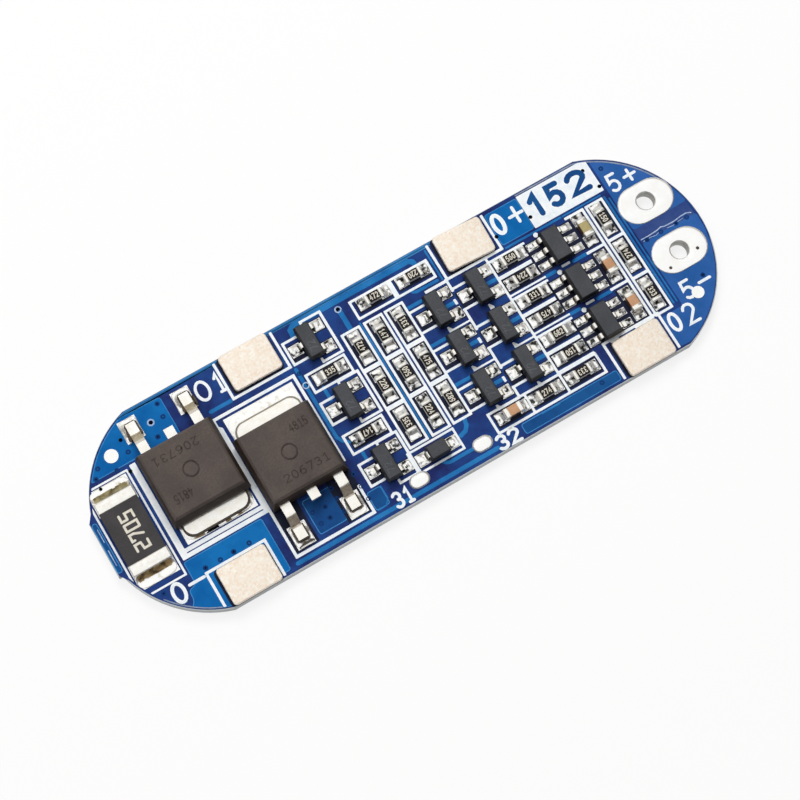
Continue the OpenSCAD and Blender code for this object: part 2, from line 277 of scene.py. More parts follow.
# %% [markdown]
# ## Where the parts sit
# The same parts repeat in rows, so their places are worked out from the boxes of the CAD
# nodes and not typed again. A chip part lies along X or along Y, which its box also tells.


# %% Places read from the frame
def middle(node):
    low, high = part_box(node)
    return ((low.x + high.x) / 2 / MM, (low.y + high.y) / 2 / MM)


def members(prefix):
    names = [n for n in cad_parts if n.startswith(prefix) and n[len(prefix):].isdigit()]
    return sorted(names, key=lambda n: int(n[len(prefix):]))


def lies_along(node):
    """The turn in degrees of a chip part's long axis."""
    low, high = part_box(node)
    return 90.0 if high.y - low.y > high.x - low.x else 0.0


PITCH = 0.95                       # from lead to lead of the small packages
TAB_L, TAB_W = 4.15, 3.1           # a nickel tab
resistors = [(*middle(n), lies_along(n)) for n in members("resistor_")]
capacitors = [(*middle(n), lies_along(n)) for n in members("capacitor_")]
# a small transistor's box reaches as far on its one-lead side as on the other
transistors = [middle(n) for n in members("transistor_")]
controllers = [middle(n) for n in members("controller_")]
diode_x, diode_y = middle("diode")
tabs = members("cell_tab_")
print(len(resistors), "resistors,", len(capacitors), "capacitors,", len(transistors), "transistors")

# %% [markdown]
# ## Laminate
# The board is FR-4: woven glass set in epoxy. Its faces are hidden by mask, but the cut edge
# shows pale grey glass layers. Each layer of cloth is about 0.18 mm thick, and the edge shows
# them as faint lines. The underside is covered with mask, so the same material turns blue
# where a face looks down.

# %% Laminate material
CLOTH_LAYER = 0.00018              # thickness of one layer of glass cloth in metres
laminate, tree, shader, place = new_material("fr4_laminate", rough=0.42)
layers = add_node(tree, "ShaderNodeTexWave", {"Vector": place, "Scale": WAVE_PERIOD / CLOTH_LAYER,
                                              "Distortion": 2.0, "Detail": 2.0},
                  bands_direction="Z")
edge_tint = tone(tree, layers.outputs["Fac"], "#8E9499", "#B4B8B8")
facing = add_node(tree, "ShaderNodeNewGeometry").outputs["Normal"]
split = add_node(tree, "ShaderNodeSeparateXYZ", {"Vector": facing})
down = add_node(tree, "ShaderNodeMath", {0: split.outputs["Z"], 1: -0.5}, operation="LESS_THAN")
mask_tint = tone(tree, cloud(tree, place, 0.004, 3.0), "#14418C", "#1A55A3")
both = add_node(tree, "ShaderNodeMix", {0: down.outputs[0], MIX_A: edge_tint, MIX_B: mask_tint},
                data_type="RGBA")
tree.links.new(both.outputs[MIX_OUT], shader.inputs["Base Color"])
repaint("board", laminate)
print("laminate on the board")

# %% [markdown]
# ## Solder mask
# Mask is a glossy blue lacquer about 0.02 mm thick. Over bare laminate it looks navy, because
# the light sinks into the board. Over copper it is a brighter blue, because the metal sends the
# light back. One finish with several pairs of tints says this, as each kind of copper is a piece
# of its own here. The lacquer flows a little before it sets, so it is faintly uneven.


# %% Mask materials
def mask_material(name, dark, light, patch):
    """Lacquer whose colour drifts between two tints over patches of the given size in metres.
    It mirrors little of a white room when seen from above."""
    material, tree, shader, place = new_material(name, rough=0.32, specular=0.07)
    tint = tone(tree, cloud(tree, place, patch, 4.0, 0.65), dark, light, 0.36, 0.64)
    tree.links.new(tint, shader.inputs["Base Color"])
    relief(tree, shader, cloud(tree, place, 0.0005, 2.0), 0.25, 0.00002)
    return material


# navy over bare laminate, and almost black round the lands: painted shade, where the parts shade
# the board
mask_on_laminate = mask_material("mask_over_laminate", "#212A60", "#244687", 0.003)
mask_painted_shade = mask_material("mask_painted_shade_round_lands", "#171A2A", "#252A40", 0.002)
# bright over wide copper, duller over thin areas, paler over tracks, and a painted highlight along
# copper edges
mask_on_copper = mask_material("mask_over_copper", "#0A5CA2", "#1671B6", 0.004)
mask_on_plane = mask_material("mask_over_thin_copper", "#184680", "#1E5893", 0.004)
mask_on_track = mask_material("mask_over_track", "#1D68A8", "#2E7DBD", 0.003)
mask_edge_highlight = mask_material("mask_painted_highlight_on_copper_edge", "#2F78B8", "#4A92CC", 0.003)
# thicker over the copper at the wire end, which turns it towards violet
mask_on_wire_copper = mask_material("mask_over_wire_copper", "#275A9C", "#3564AC", 0.003)
# greener over the long strip at the upper edge, greyer where it was scraped between the terminals
mask_on_strip = mask_material("mask_over_edge_strip", "#235C92", "#3070A6", 0.003)
mask_on_scar = mask_material("mask_over_scar", "#2C427E", "#3C5289", 0.002)
# painted shade where it sinks into a tented via
mask_painted_dimple_shade = mask_material("mask_painted_dimple_shade", "#0F2F60", "#143F7A", 0.002)
# pale blue: painted highlight on low ridges, and pale rings round three open vias; grey rim lines
pale_mask_highlight_and_rings = mask_material("mask_painted_highlight_on_ridges_and_via_rings", "#8EA6CC", "#C3D2E8", 0.0006)
pale_rim_mask = mask_material("pale_mask_on_rim", "#717F97", "#98A2B4", 0.0006)
print("mask materials made")

# %% [markdown]
# ## The mask film
# One film covers the upper face. It stops short of the edge, because it is printed before the
# boards are cut apart, and the rim it leaves is pale laminate. A flat curve fills its own
# holes, so it cuts the openings for the wire holes and the open vias with no boolean.

# %% Outline of the board, and the film
HALF_L, HALF_W = cad("board", 0, 1), cad("board", 1, 1)
END_R = 9.157                      # radius of the round ends
END_X = HALF_L - END_R             # their centres
KINK_X = 20.2                      # where the straight sides end
STUB, STUB_CUT = 2.3, 0.02         # half width of the break-off stub; the film ends short of it


def board_outline(inset_at):
    """The board's outline, counter-clockwise, pulled in by inset_at(y)."""
    steps = 26                     # of a round end
    lean = math.asin(HALF_W / END_R)
    points = [(-KINK_X + k * KINK_X / 5, -HALF_W) for k in range(11)]
    points += [(END_X + END_R * math.cos(a), END_R * math.sin(a))
               for a in (lean * (2 * k / steps - 1) for k in range(1, steps))]
    points += [(KINK_X - k * KINK_X / 5, HALF_W) for k in range(11)]
    stub_lean = math.asin(STUB / END_R)
    for low, high in ((lean, stub_lean), (-stub_lean, -lean)):
        angles = [low + (high - low) * k / (steps // 2) for k in range(1, steps // 2)]
        points += [(-END_X - END_R * math.cos(a), END_R * math.sin(a)) for a in angles]
        if low > 0:
            points += [(-HALF_L + STUB_CUT, STUB), (-HALF_L + STUB_CUT, -STUB)]
    out = []
    for x, y in points:
        outward = Vector((x - max(-END_X, min(END_X, x)), y))
        if abs(x) < KINK_X - 0.1:
            outward = Vector((0, y))
        outward.normalize()
        d = inset_at(y)
        out.append((x - outward.x * d, y - outward.y * d))
    return out


def rim_width(y):
    """Bare rim: a hair wide above, a little more along the lower edge."""
    return 0.03 if y > -2 else 0.07


def flat_curve_mesh(name, outlines, low, high):
    """The mesh of a sheet between two heights; outlines inside the first one are holes."""
    curve = bpy.data.curves.new(name, "CURVE")
    curve.dimensions = "2D"
    curve.fill_mode = "BOTH"
    curve.extrude = (high - low) / 2 * MM
    for outline in outlines:
        spline = curve.splines.new("POLY")
        spline.points.add(len(outline) - 1)
        for point, (x, y) in zip(spline.points, outline):
            point.co = (x * MM, y * MM, 0, 1)
        spline.use_cyclic_u = True
    holder = bpy.data.objects.new(name, curve)
    bpy.context.scene.collection.objects.link(holder)
    depsgraph = bpy.context.evaluated_depsgraph_get()
    mesh = bpy.data.meshes.new_from_object(holder.evaluated_get(depsgraph))
    mesh.transform(Matrix.Translation((0, 0, (low + high) / 2 * MM)))
    bpy.data.objects.remove(holder)
    bpy.data.curves.remove(curve)
    return mesh


def ring_of(x, y, radius, count=28):
    return [(x + radius * math.cos(2 * math.pi * k / count),
             y + radius * math.sin(2 * math.pi * k / count)) for k in range(count)]


plain_vias = [(-21.35, 6.8), (-21.87, 4.3), (11.75, 6.35), (14.9, 6.4), (20.5, 7.62),
              (20.95, 5.85)]
ringed_vias = [(-18.72, 6.85), (-7.12, 3.42), (-1.95, 7.45)]
open_vias = plain_vias + ringed_vias
VIA_R, WIRE_R = 0.16, 0.75         # radius of the finished holes
wire_holes = [middle("positive_terminal"), middle("negative_terminal")]
FILM_TOP = BOARD_TOP + 0.008
film = flat_curve_mesh("mask_film", [board_outline(rim_width)]
                       + [ring_of(x, y, VIA_R + 0.005, 16) for x, y in open_vias]
                       + [ring_of(x, y, WIRE_R + 0.01) for x, y in wire_holes],
                       BOARD_TOP - 0.01, FILM_TOP)
bm = bmesh.new()
bm.from_mesh(film)
bpy.data.meshes.remove(film)
mask_film = finished("mask_film", bm, [mask_on_laminate])
print("mask film:", len(mask_film.data.polygons), "faces")

# %% [markdown]
# ## Copper under the mask
# Wide areas carry the current and thin tracks carry the signals. Both stand about 0.02 mm proud
# under the lacquer, which rounds their edges. An area is a rounded outline and a track is a
# stroke, and `plate` raises both with a soft shoulder.

# %% Copper areas
COPPER_TOP = BOARD_TOP + 0.021
AREA = [(0, BOARD_TOP), (0.01, COPPER_TOP - 0.004), (0.075, COPPER_TOP)]
THIN_DROP = 0.002                  # thin copper lies this much lower, so it never meets the thick
R_IN = END_R - 0.14                # copper keeps clear of the cut edge


def on_arc(side, degrees, pull):
    """A point near a round end; degrees go up from the middle of that end."""
    a = math.radians(degrees)
    return (side * (END_X + (R_IN - pull) * math.cos(a)), (R_IN - pull) * math.sin(a))


def arc_run(side, start, end, count=8, pull=0.0):
    return [on_arc(side, start + (end - start) * k / count, pull) for k in range(count + 1)]


copper_areas = {
    "upper_left": [(-17.15, 4.95), (-17.15, 8.3)] + arc_run(-1, 69, 33),
    "minus_tab": [(-15.15, -8.35), (-15.15, -3.8), (-21.85, -3.8), (-21.85, -5.68),
                  (-22.5, -5.85), (-22.55, -6.7)] + arc_run(-1, -52, -70),
    "plus_tab": rectangle(11.75, 5.45, 14.72, 8.35),
}
thin_areas = {
    "gate": [(-12, -7.2), (-9.65, -7.2), (-9.3, -6.85), (-9.3, -4.25), (-12, -4.25)],
    "low_left": rectangle(-7.45, -7.75, -6.2, -6.15),
    "lower_run": rectangle(5.4, -8.42, 14.05, -7.5),
    "stub_strip": rectangle(-26.44, -2.15, -25.96, 2.15),
}
wire_areas = {
    "positive": [(21.3, 1.38)] + arc_run(1, 9, 61) + [(21.3, 8.0)],
    "negative": [(19.3, -8.45), (19.3, -5.75), (21.3, -5.75), (21.3, 0.15)] + arc_run(1, 1, -71),
}


def counter_clockwise(outline):
    area = sum(a[0] * b[1] - b[0] * a[1] for a, b in zip(outline, outline[1:] + outline[:1]))
    return outline if area > 0 else outline[::-1]


def raised_areas(name, areas, material, drop=0.0):
    bm = bmesh.new()
    for outline in areas.values():
        # the shoulders take a painted highlight, where light catches the edge of the copper
        plate(bm, rounded(counter_clockwise(outline), 0.25), [(i, z - drop) for i, z in AREA],
              side_slot=1)
    return finished(name, bm, [material, mask_edge_highlight], smooth_angle=0)


raised_areas("copper_areas", copper_areas, mask_on_copper)
raised_areas("thin_copper_areas", thin_areas, mask_on_plane, THIN_DROP)
strip = [(-20.95, 8.34), (11.2, 8.34), (11.2, 8.64), (-20.15, 8.64), (-20.6, 8.48)]
raised_areas("edge_strip", {"upper": strip}, mask_on_strip, THIN_DROP)
for name, outline in wire_areas.items():
    opening = ring_of(*middle(name + "_terminal"), WIRE_R + 0.3)
    sheet = flat_curve_mesh(name, [rounded(counter_clockwise(outline), 0.25), opening],
                            BOARD_TOP + 0.001, COPPER_TOP)
    bm = bmesh.new()
    bm.from_mesh(sheet)
    bpy.data.meshes.remove(sheet)
    finished(name + "_copper", bm, [mask_on_wire_copper])
print("copper areas:", len(copper_areas) + len(thin_areas) + len(wire_areas))

# %% [markdown]
# ## Tracks
# A track runs from land to land in straight lines with small bends, as etching leaves no sharp
# corner. Each is a pen stroke given by its corners and its width. Rows of equal parts have equal
# tracks, so a loop draws those.

# %% Tracks
TRACK = [(0, BOARD_TOP), (0.015, COPPER_TOP - 0.003), (0.06, COPPER_TOP + 0.004)]
rows = [3.4, -0.15, -3.75]
tracks = [
    ([(-6.0, 7.3), (-5.95, 7.85), (-5.6, 8.1), (4.7, 8.1), (5.0, 7.9), (5.05, 7.7)], 0.46),
    ([(-1.9, 7.2), (-1.9, 5.6)], 0.42),
    ([(-1.03, 5.6), (-1.03, -4.9)], 0.16),
    ([(1.95, -5.0), (1.85, -5.45), (1.55, -5.8), (1.05, -5.95)], 0.36),
    ([(-1.15, -7.0), (-0.95, -7.2), (-0.7, -7.3), (1.35, -7.3)], 0.3),
    ([(3.75, 5.75), (4.0, 5.62), (5.9, 5.6)], 0.26),
    ([(6.3, 8.2), (6.3, 5.5)], 0.16),
    ([(-14.5, -8.2), (3.0, -8.2)], 0.36),
    ([(-7.15, 4.9), (-7.15, -1.3), (-6.9, -1.75), (-6.5, -2.1)], 0.3),
    ([(-6.05, 2.65), (-6.05, 1.5)], 0.3),
    ([(-6.05, -3.3), (-6.05, -4.05)], 0.3),
    ([(-6.2, -6.2), (-6.2, -7.3), (-6.6, -7.75), (-7.3, -7.75)], 0.12),
    ([(-14.4, 5.27), (-12.6, 5.27)], 0.32),
    ([(20.8, 4.9), (20.8, -5.2)], 0.18),
    ([(21.1, 4.6), (21.1, -5.2)], 0.14),
    ([(11.9, 5.18), (16.9, 5.18)], 0.2),
    ([(17.1, 5.18), (20.6, 5.18)], 0.14),
    ([(7.3, -7.62), (8.9, -7.62)], 0.12),
]
for y in rows:
    tracks += [([(2.75, y + 1.4), (4.1, y + 1.4)], 0.3), ([(5.45, y), (6.2, y)], 0.34),
               ([(6.75, y + 1.02), (7.6, y + 1.02)], 0.2), ([(9.2, y), (9.85, y)], 0.34)]
for y in (1.6, -1.95):
    tracks += [([(13.35, y), (14.2, y)], 0.3), ([(15.9, y), (17.1, y)], 0.3)]
bm = bmesh.new()
for number, (points, width) in enumerate(tracks):
    lift = 0.0008 * (number % 3)
    plate(bm, stroke_outline(points, width), [(i, z + lift) for i, z in TRACK])
finished("track_runs", bm, [mask_on_track], smooth_angle=0)
print("tracks:", len(tracks))

# %% [markdown]
# ## Pale lines and the scar
# Pale grey lines run along the rim round the ends, and a scraped scar runs between the two
# wire terminals. The pale blue lines on the scar and at the left end are painted highlights,
# where light catches low ridges in the lacquer. They are strokes that lie a hair higher than the
# copper, because a stroke follows an edge better than a painted pattern would.

# %% Highlights on ridges, rim lines and the scar between the wire terminals
RIDGE_PULL = 0.06                  # the pale rim lines lie this far inside the edge of the copper
rims = [
    ([(14.8, 8.53), (20.0, 8.53)] + arc_run(1, 70, 26, 12, RIDGE_PULL), 0.13),
    (arc_run(-1, -38, -66, 10, RIDGE_PULL), 0.11),
]
ridges = [
    ([(-26.2, -1.5), (-26.2, -0.2)], 0.08), ([(-26.15, 0.5), (-26.15, 1.6)], 0.08),
    ([(21.4, 0.42), (22.0, 0.40), (22.9, 0.46), (23.3, 0.55), (23.6, 0.45), (24.4, 0.42),
      (25.2, 0.52), (25.7, 0.52), (26.0, 0.36)], 0.1),
    ([(21.5, 0.2), (22.2, 0.22), (22.6, 0.14), (23.0, 0.26)], 0.06),
    ([(23.7, 0.22), (24.2, 0.16), (24.7, 0.24), (25.2, 0.28)], 0.06),
]
for name, lines, mask in (("worn_ridges", ridges, pale_mask_highlight_and_rings), ("scuffed_rims", rims, pale_rim_mask)):
    bm = bmesh.new()
    for number, (points, width) in enumerate(lines):
        lift = 0.0003 * (number % 2)
        plate(bm, stroke_outline(points, width),
              [(0, BOARD_TOP), (0.01, COPPER_TOP + 0.002), (0.03, COPPER_TOP + 0.005 + lift)])
    finished(name, bm, [mask], smooth_angle=0)
bm = bmesh.new()
plate(bm, rounded([(21.3, 0.1), (26.2, 0.1), (26.2, 1.42), (21.3, 1.42)], 0.1),
      [(0, BOARD_TOP), (0, COPPER_TOP - 0.006), (0.01, COPPER_TOP - 0.004)])
finished("terminal_gap", bm, [mask_on_scar], smooth_angle=0)
print("ridges:", len(ridges))

# %% [markdown]
# ## Painted shade round the lands
# Copper and mask openings are drawn a little larger than each land, so that a printing error
# never bridges two of them. A dark frame round each land and each tab is painted shade, where
# the parts shade the board. The dark frames make the lands look bright, so every land gets one.

# %% Painted shade round the lands
SHADE_FRAME = [(0, BOARD_TOP), (0, COPPER_TOP + 0.001), (0.01, COPPER_TOP + 0.0022)]
EDGE_STOP = 8.66                   # just inside the cut edge of the board
# length, width and corner radius of each kind of frame of painted shade
CHIP_SHADE, DIODE_SHADE = (3.06, 1.34, 0.12), (1.12, 1.14, 0.1)
ONE_LEAD_SHADE, TWO_LEAD_SHADE = (1.3, 1.4, 0.1), (1.12, 1.1, 0.1)
THREE_LEAD_SHADE, POWER_LEAD_SHADE = (1.5, 2.75, 0.1), (2.1, 3.7, 0.1)
shade_frames = [block(x, y, *CHIP_SHADE, turn, 2) for x, y, turn in resistors + capacitors]
for x, y in transistors:
    shade_frames.append(block(x - 1.18, y - 0.12, *ONE_LEAD_SHADE, steps=2))
    shade_frames += [block(x + 1.2, y + side * PITCH, *TWO_LEAD_SHADE, steps=2) for side in (-1, 1)]
for x, y in controllers:
    shade_frames += [block(x + side * 1.35, y, *THREE_LEAD_SHADE, steps=2) for side in (-1, 1)]
# painted shadow round each tab, reaching further to the left and below
for node in tabs:
    x, y = middle(node)
    low, high = max(y - 1.7, -EDGE_STOP), min(y + 1.6, EDGE_STOP)
    shade_frames.append(block(x - 0.06, (low + high) / 2, TAB_L + 0.3, high - low, 0.4, steps=3))
shade_frames += [block(x, -5.65, *POWER_LEAD_SHADE, steps=2) for x in (-13.28, -8.62)]
shade_frames += [block(diode_x + side * 1.3, diode_y, *DIODE_SHADE, steps=2) for side in (-1, 1)]
bm = bmesh.new()
for number, well in enumerate(shade_frames):
    plate(bm, well, [(i, z + 0.0002 * (number % 3)) for i, z in SHADE_FRAME])
finished("clearances", bm, [mask_painted_shade], smooth_angle=0)
print("clearances:", len(shade_frames))

# %% [markdown]
# ## Vias
# A via is a plated hole that joins the copper of the two faces. Nine are open, and the rest are
# tented, which means that mask covers them and leaves a small dimple in a low ring, its shade
# painted dark.
# They repeat, so Geometry Nodes make them: one tree turns a circle into a flat bead and copies
# it to every point. Its sizes are inputs, so the same tree serves open and tented vias.


# %% A tree for rings at points
def new_tree(name, sockets):
    """A geometry tree with named inputs, its group input and its group output."""
    tree = bpy.data.node_groups.new(name, "GeometryNodeTree")
    tree.interface.new_socket("Geometry", in_out="INPUT", socket_type="NodeSocketGeometry")
    tree.interface.new_socket("Geometry", in_out="OUTPUT", socket_type="NodeSocketGeometry")
    for label, kind in sockets:
        tree.interface.new_socket(label, in_out="INPUT", socket_type="NodeSocket" + kind)
    return tree, add_node(tree, "NodeGroupInput").outputs, add_node(tree, "NodeGroupOutput")


def live(sockets, name=None):
    """The first socket of that name which the node's data type leaves switched on."""
    return next(s for s in sockets if s.enabled and name in (None, s.name))


ring_tree, given, result = new_tree("rings_at_points", [
    ("Radius", "Float"), ("Bead", "Float"), ("Rise", "Float"), ("Material", "Material")])
path = add_node(ring_tree, "GeometryNodeCurvePrimitiveCircle",
                {"Radius": given["Radius"], "Resolution": 18})
bead = add_node(ring_tree, "GeometryNodeCurvePrimitiveCircle",
                {"Radius": given["Bead"], "Resolution": 6})
ring = add_node(ring_tree, "GeometryNodeCurveToMesh",
                {"Curve": path.outputs["Curve"], "Profile Curve": bead.outputs["Curve"]})
squash = add_node(ring_tree, "ShaderNodeCombineXYZ", {"X": 1.0, "Y": 1.0, "Z": given["Rise"]})
low_ring = add_node(ring_tree, "GeometryNodeTransform",
                    {"Geometry": ring.outputs["Mesh"], "Scale": squash.outputs["Vector"]})
copies = add_node(ring_tree, "GeometryNodeInstanceOnPoints",
                  {"Points": given["Geometry"], "Instance": low_ring.outputs["Geometry"]})
real = add_node(ring_tree, "GeometryNodeRealizeInstances",
                {"Geometry": copies.outputs["Instances"]})
coated = add_node(ring_tree, "GeometryNodeSetMaterial",
                  {"Geometry": real.outputs["Geometry"], "Material": given["Material"]})
ring_tree.links.new(coated.outputs["Geometry"], result.inputs["Geometry"])
print("tree:", ring_tree.name)

# %% [markdown]
# ## Copies of a part
# Small parts come from a reel and are all alike, but a machine sets each one down a few
# hundredths of a millimetre off and a little turned. The second tree copies an object to every
# point, turned by the point's own attribute, and adds a seeded slip and twist.

# %% A tree for copies of a part at turned points
copy_tree, given, result = new_tree("parts_at_places", [
    ("Part", "Object"), ("Slip", "Float"), ("Twist", "Float"), ("Seed", "Int"),
    ("Material", "Material")])
part = add_node(copy_tree, "GeometryNodeObjectInfo", {"Object": given["Part"]})
turn = add_node(copy_tree, "GeometryNodeInputNamedAttribute", {"Name": "turn"},
                data_type="FLOAT")
least = add_node(copy_tree, "ShaderNodeMath", {0: given["Twist"], 1: -1.0}, operation="MULTIPLY")
wobble = add_node(copy_tree, "FunctionNodeRandomValue", data_type="FLOAT")
# a Random Value node has one pair of limits for each of its types, and only one pair is on
for label, socket in (("Min", least.outputs[0]), ("Max", given["Twist"]), ("Seed", given["Seed"])):
    copy_tree.links.new(socket, live(wobble.inputs, label))
angle = add_node(copy_tree, "ShaderNodeMath", {0: turn.outputs[0], 1: live(wobble.outputs)},
                 operation="ADD")
turned = add_node(copy_tree, "ShaderNodeCombineXYZ", {"Z": angle.outputs[0]})
to_turn = add_node(copy_tree, "FunctionNodeEulerToRotation", {"Euler": turned.outputs["Vector"]})
copies = add_node(copy_tree, "GeometryNodeInstanceOnPoints",
                  {"Points": given["Geometry"], "Instance": part.outputs["Geometry"],
                   "Rotation": to_turn.outputs["Rotation"]})
slip_to = add_node(copy_tree, "ShaderNodeVectorMath",
                   {0: (1.0, 1.0, 0.0), "Scale": given["Slip"]}, operation="SCALE")
slip_back = add_node(copy_tree, "ShaderNodeVectorMath", {0: slip_to.outputs[0], "Scale": -1.0},
                     operation="SCALE")
drift = add_node(copy_tree, "FunctionNodeRandomValue", data_type="FLOAT_VECTOR")
for label, socket in (("Min", slip_back.outputs[0]), ("Max", slip_to.outputs[0]),
                      ("Seed", given["Seed"])):
    copy_tree.links.new(socket, live(drift.inputs, label))
moved = add_node(copy_tree, "GeometryNodeTranslateInstances",
                 {"Instances": copies.outputs["Instances"], "Local Space": False,
                  "Translation": live(drift.outputs)})
real = add_node(copy_tree, "GeometryNodeRealizeInstances",
                {"Geometry": moved.outputs["Instances"]})
coated = add_node(copy_tree, "GeometryNodeSetMaterial",
                  {"Geometry": real.outputs["Geometry"], "Material": given["Material"]})
copy_tree.links.new(coated.outputs["Geometry"], result.inputs["Geometry"])
print("tree:", copy_tree.name)


# %% Running a tree on a list of places
def grown(name, tree, places, height, slot, **values):
    """Runs a geometry tree on (x, y, turn) places and keeps the result as a plain mesh."""
    mesh = bpy.data.meshes.new(name)
    mesh.from_pydata([(p[0] * MM, p[1] * MM, height * MM) for p in places], [], [])
    turns = mesh.attributes.new("turn", "FLOAT", "POINT")
    for item, p in zip(turns.data, places):
        item.value = math.radians(p[2] if len(p) > 2 else 0.0)
    piece = bpy.data.objects.new(name, mesh)
    bpy.context.scene.collection.objects.link(piece)
    modifier = piece.modifiers.new("grown", "NODES")
    modifier.node_group = tree
    sockets = {s.name: s.identifier for s in tree.interface.items_tree if s.in_out == "INPUT"}
    for label, value in values.items():
        modifier[sockets[label]] = value
    depsgraph = bpy.context.evaluated_depsgraph_get()
    result = bpy.data.meshes.new_from_object(piece.evaluated_get(depsgraph))
    piece.modifiers.clear()
    piece.data = result
    result.name = name
    bpy.data.meshes.remove(mesh)
    for face in result.polygons:
        face.use_smooth = True
    result.set_sharp_from_angle(angle=math.radians(SMOOTH_ANGLE))
    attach(piece, "root")
    return piece


tented_vias = [(-17.6, 7.9), (-17.7, 6.8), (-18.8, 5.6), (-23.9, 5.7), (-24.4, 5.05),
               (-22.7, 4.85), (-20.6, -5.0), (-19.35, -5.02), (-18.2, -5.0),
               (-16.88, -5.0), (-24.2, -5.1), (-11.65, -5.4), (-10.6, -5.5), (-9.5, -5.4),
               (-9.5, -4.5), (-11.5, -6.45), (-10.7, -6.4), (-9.5, -6.5), (-7.5, -4.4),
               (-7.5, -5.5), (-7.5, -6.6), (12.55, -7.85), (24.0, -4.45), (21.85, 7.05),
               (21.8, 0.2), (23.1, 0.2), (24.5, 0.2), (25.5, 0.2), (-7.1, 4.5), (-21.3, 5.7)]
# pale rings round three of the open vias
grown("via_rings", ring_tree, ringed_vias, COPPER_TOP, "solder_mask",
      Radius=0.235 * MM, Bead=0.055 * MM, Rise=0.3, Material=pale_mask_highlight_and_rings)
grown("tent_rings", ring_tree, tented_vias, COPPER_TOP, "solder_mask",
      Radius=0.13 * MM, Bead=0.075 * MM, Rise=0.14, Material=mask_painted_dimple_shade)
# the wall of a narrow hole, which no light reaches
shade_tint = new_material("shaded_barrel", "#0B0D14", 0.9, 0.0)[0]
SHUNT_VIA = (-24.45, 4.2)          # painted shade of a pit where solder ran into a via beside the shunt
bm = bmesh.new()
# each open hole is closed by a dark plug: painted shade, as no light reaches down the hole
for x, y in open_vias:
    plate(bm, ring_of(x, y, VIA_R - 0.004, 16), [(0, 0.3), (0, COPPER_TOP + 0.004)])
# a dark disc of painted shade in every other dimple
for x, y in tented_vias[::2]:
    plate(bm, ring_of(x, y, 0.07, 12),
          [(0, BOARD_TOP), (0, COPPER_TOP + 0.004), (0.03, COPPER_TOP + 0.006)])
plate(bm, ring_of(*SHUNT_VIA, 0.13, 12),
      [(0, BOARD_TOP), (0, LAND_TOP + 0.1), (0.03, LAND_TOP + 0.13)])
finished("via_wells", bm, [shade_tint], smooth_angle=0)
print("vias:", len(open_vias), "open,", len(tented_vias), "tented")

# %% [markdown]
# ## White ink
# The frames round the parts are screen-printed epoxy ink, 0.03 mm thick, a shade bluish
# where the mask shows through. The CAD node already has the right outlines, so it only needs
# the ink. The figures beside the terminals are drawn here with a round pen, because board
# lettering is a single line with one width. They are plain figures that mark the terminals.

# %% Ink
ink, tree, shader, place = new_material("screen_printed_ink", rough=0.5)
thin = cloud(tree, place, 0.0006, 4.0, 0.7)
tree.links.new(tone(tree, thin, "#E6F0F7", "#FCFEFF", 0.3, 0.6), shader.inputs["Base Color"])
relief(tree, shader, thin, 0.3, 0.00001)
bm = of_node("silkscreen")
# the line above the lower left tab is printed close against it
LINE_X, LINE_Y, LINE_SHIFT = (-21.05, -15.5), (-5.45, -5.1), 0.1
for vert in bm.verts:
    if LINE_X[0] < vert.co.x / MM < LINE_X[1] and LINE_Y[0] < vert.co.y / MM < LINE_Y[1]:
        vert.co.y -= LINE_SHIFT * MM
corners = [e for e in bm.edges
           if len(e.link_faces) == 2 and e.calc_face_angle(0) > math.radians(60)
           and abs(e.verts[0].co.z - e.verts[1].co.z) > 0.5 * (INK_TOP - BOARD_TOP) * MM]
bmesh.ops.bevel(bm, geom=corners, offset=0.05 * MM, segments=2, affect="EDGES", profile=0.5,
                clamp_overlap=False)
prints = finished("printed_frames", bm, [ink], smooth_angle=0)
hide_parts("silkscreen")
print("printed frames:", len(prints.data.polygons), "faces")


# %% [markdown]
# ## Figures
# The lettering of a board is drawn with one round pen, so a figure is a short list of strokes.
# The same strokes serve for ink, laser marks and chip codes; only the pen, the cell and the
# height change. All of them are plain numbers and name nobody.

# %% A pen alphabet of figures
def arc(cx, cy, rx, ry, start, end, count=8):
    """Points of an elliptic arc; angles are in degrees."""
    return [(cx + rx * math.cos(math.radians(start + (end - start) * k / count)),
             cy + ry * math.sin(math.radians(start + (end - start) * k / count)))
            for k in range(count + 1)]


# Each figure is a list of strokes in a cell 1 wide and 1.5 high
CELL_H = 1.5
FIGURES = {
    "0": [arc(0.5, 0.75, 0.42, 0.75, 90, 270, 10), arc(0.5, 0.75, 0.42, 0.75, 270, 450, 10)],
    "1": [[(0.22, 1.15), (0.58, 1.5), (0.58, 0.0)], [(0.25, 0.0), (0.9, 0.0)]],
    "2": [arc(0.5, 1.08, 0.42, 0.42, 165, -30, 9) + [(0.08, 0.0), (0.94, 0.0)]],
    "3": [arc(0.46, 1.12, 0.38, 0.38, 150, -80, 8), arc(0.46, 0.4, 0.42, 0.4, 85, -150, 9)],
    "4": [[(0.7, 0.0), (0.7, 1.5), (0.05, 0.45), (0.98, 0.45)]],
    "5": [[(0.88, 1.5), (0.2, 1.5), (0.14, 0.82)] + arc(0.46, 0.47, 0.43, 0.47, 110, -140, 9)],
    "6": [arc(0.78, 0.52, 0.7, 0.98, 92, 180, 6) + arc(0.5, 0.45, 0.42, 0.45, 190, 520, 12)],
    "7": [[(0.08, 1.5), (0.94, 1.5), (0.38, 0.0)]],
    "8": [arc(0.5, 1.12, 0.36, 0.38, -90, 270, 14), arc(0.5, 0.38, 0.42, 0.38, 90, 450, 14)],
    "+": [[(0.0, 0.75), (1.0, 0.75)], [(0.5, 0.25), (0.5, 1.25)]],
    "-": [[(0.0, 0.75), (1.0, 0.75)]],
}


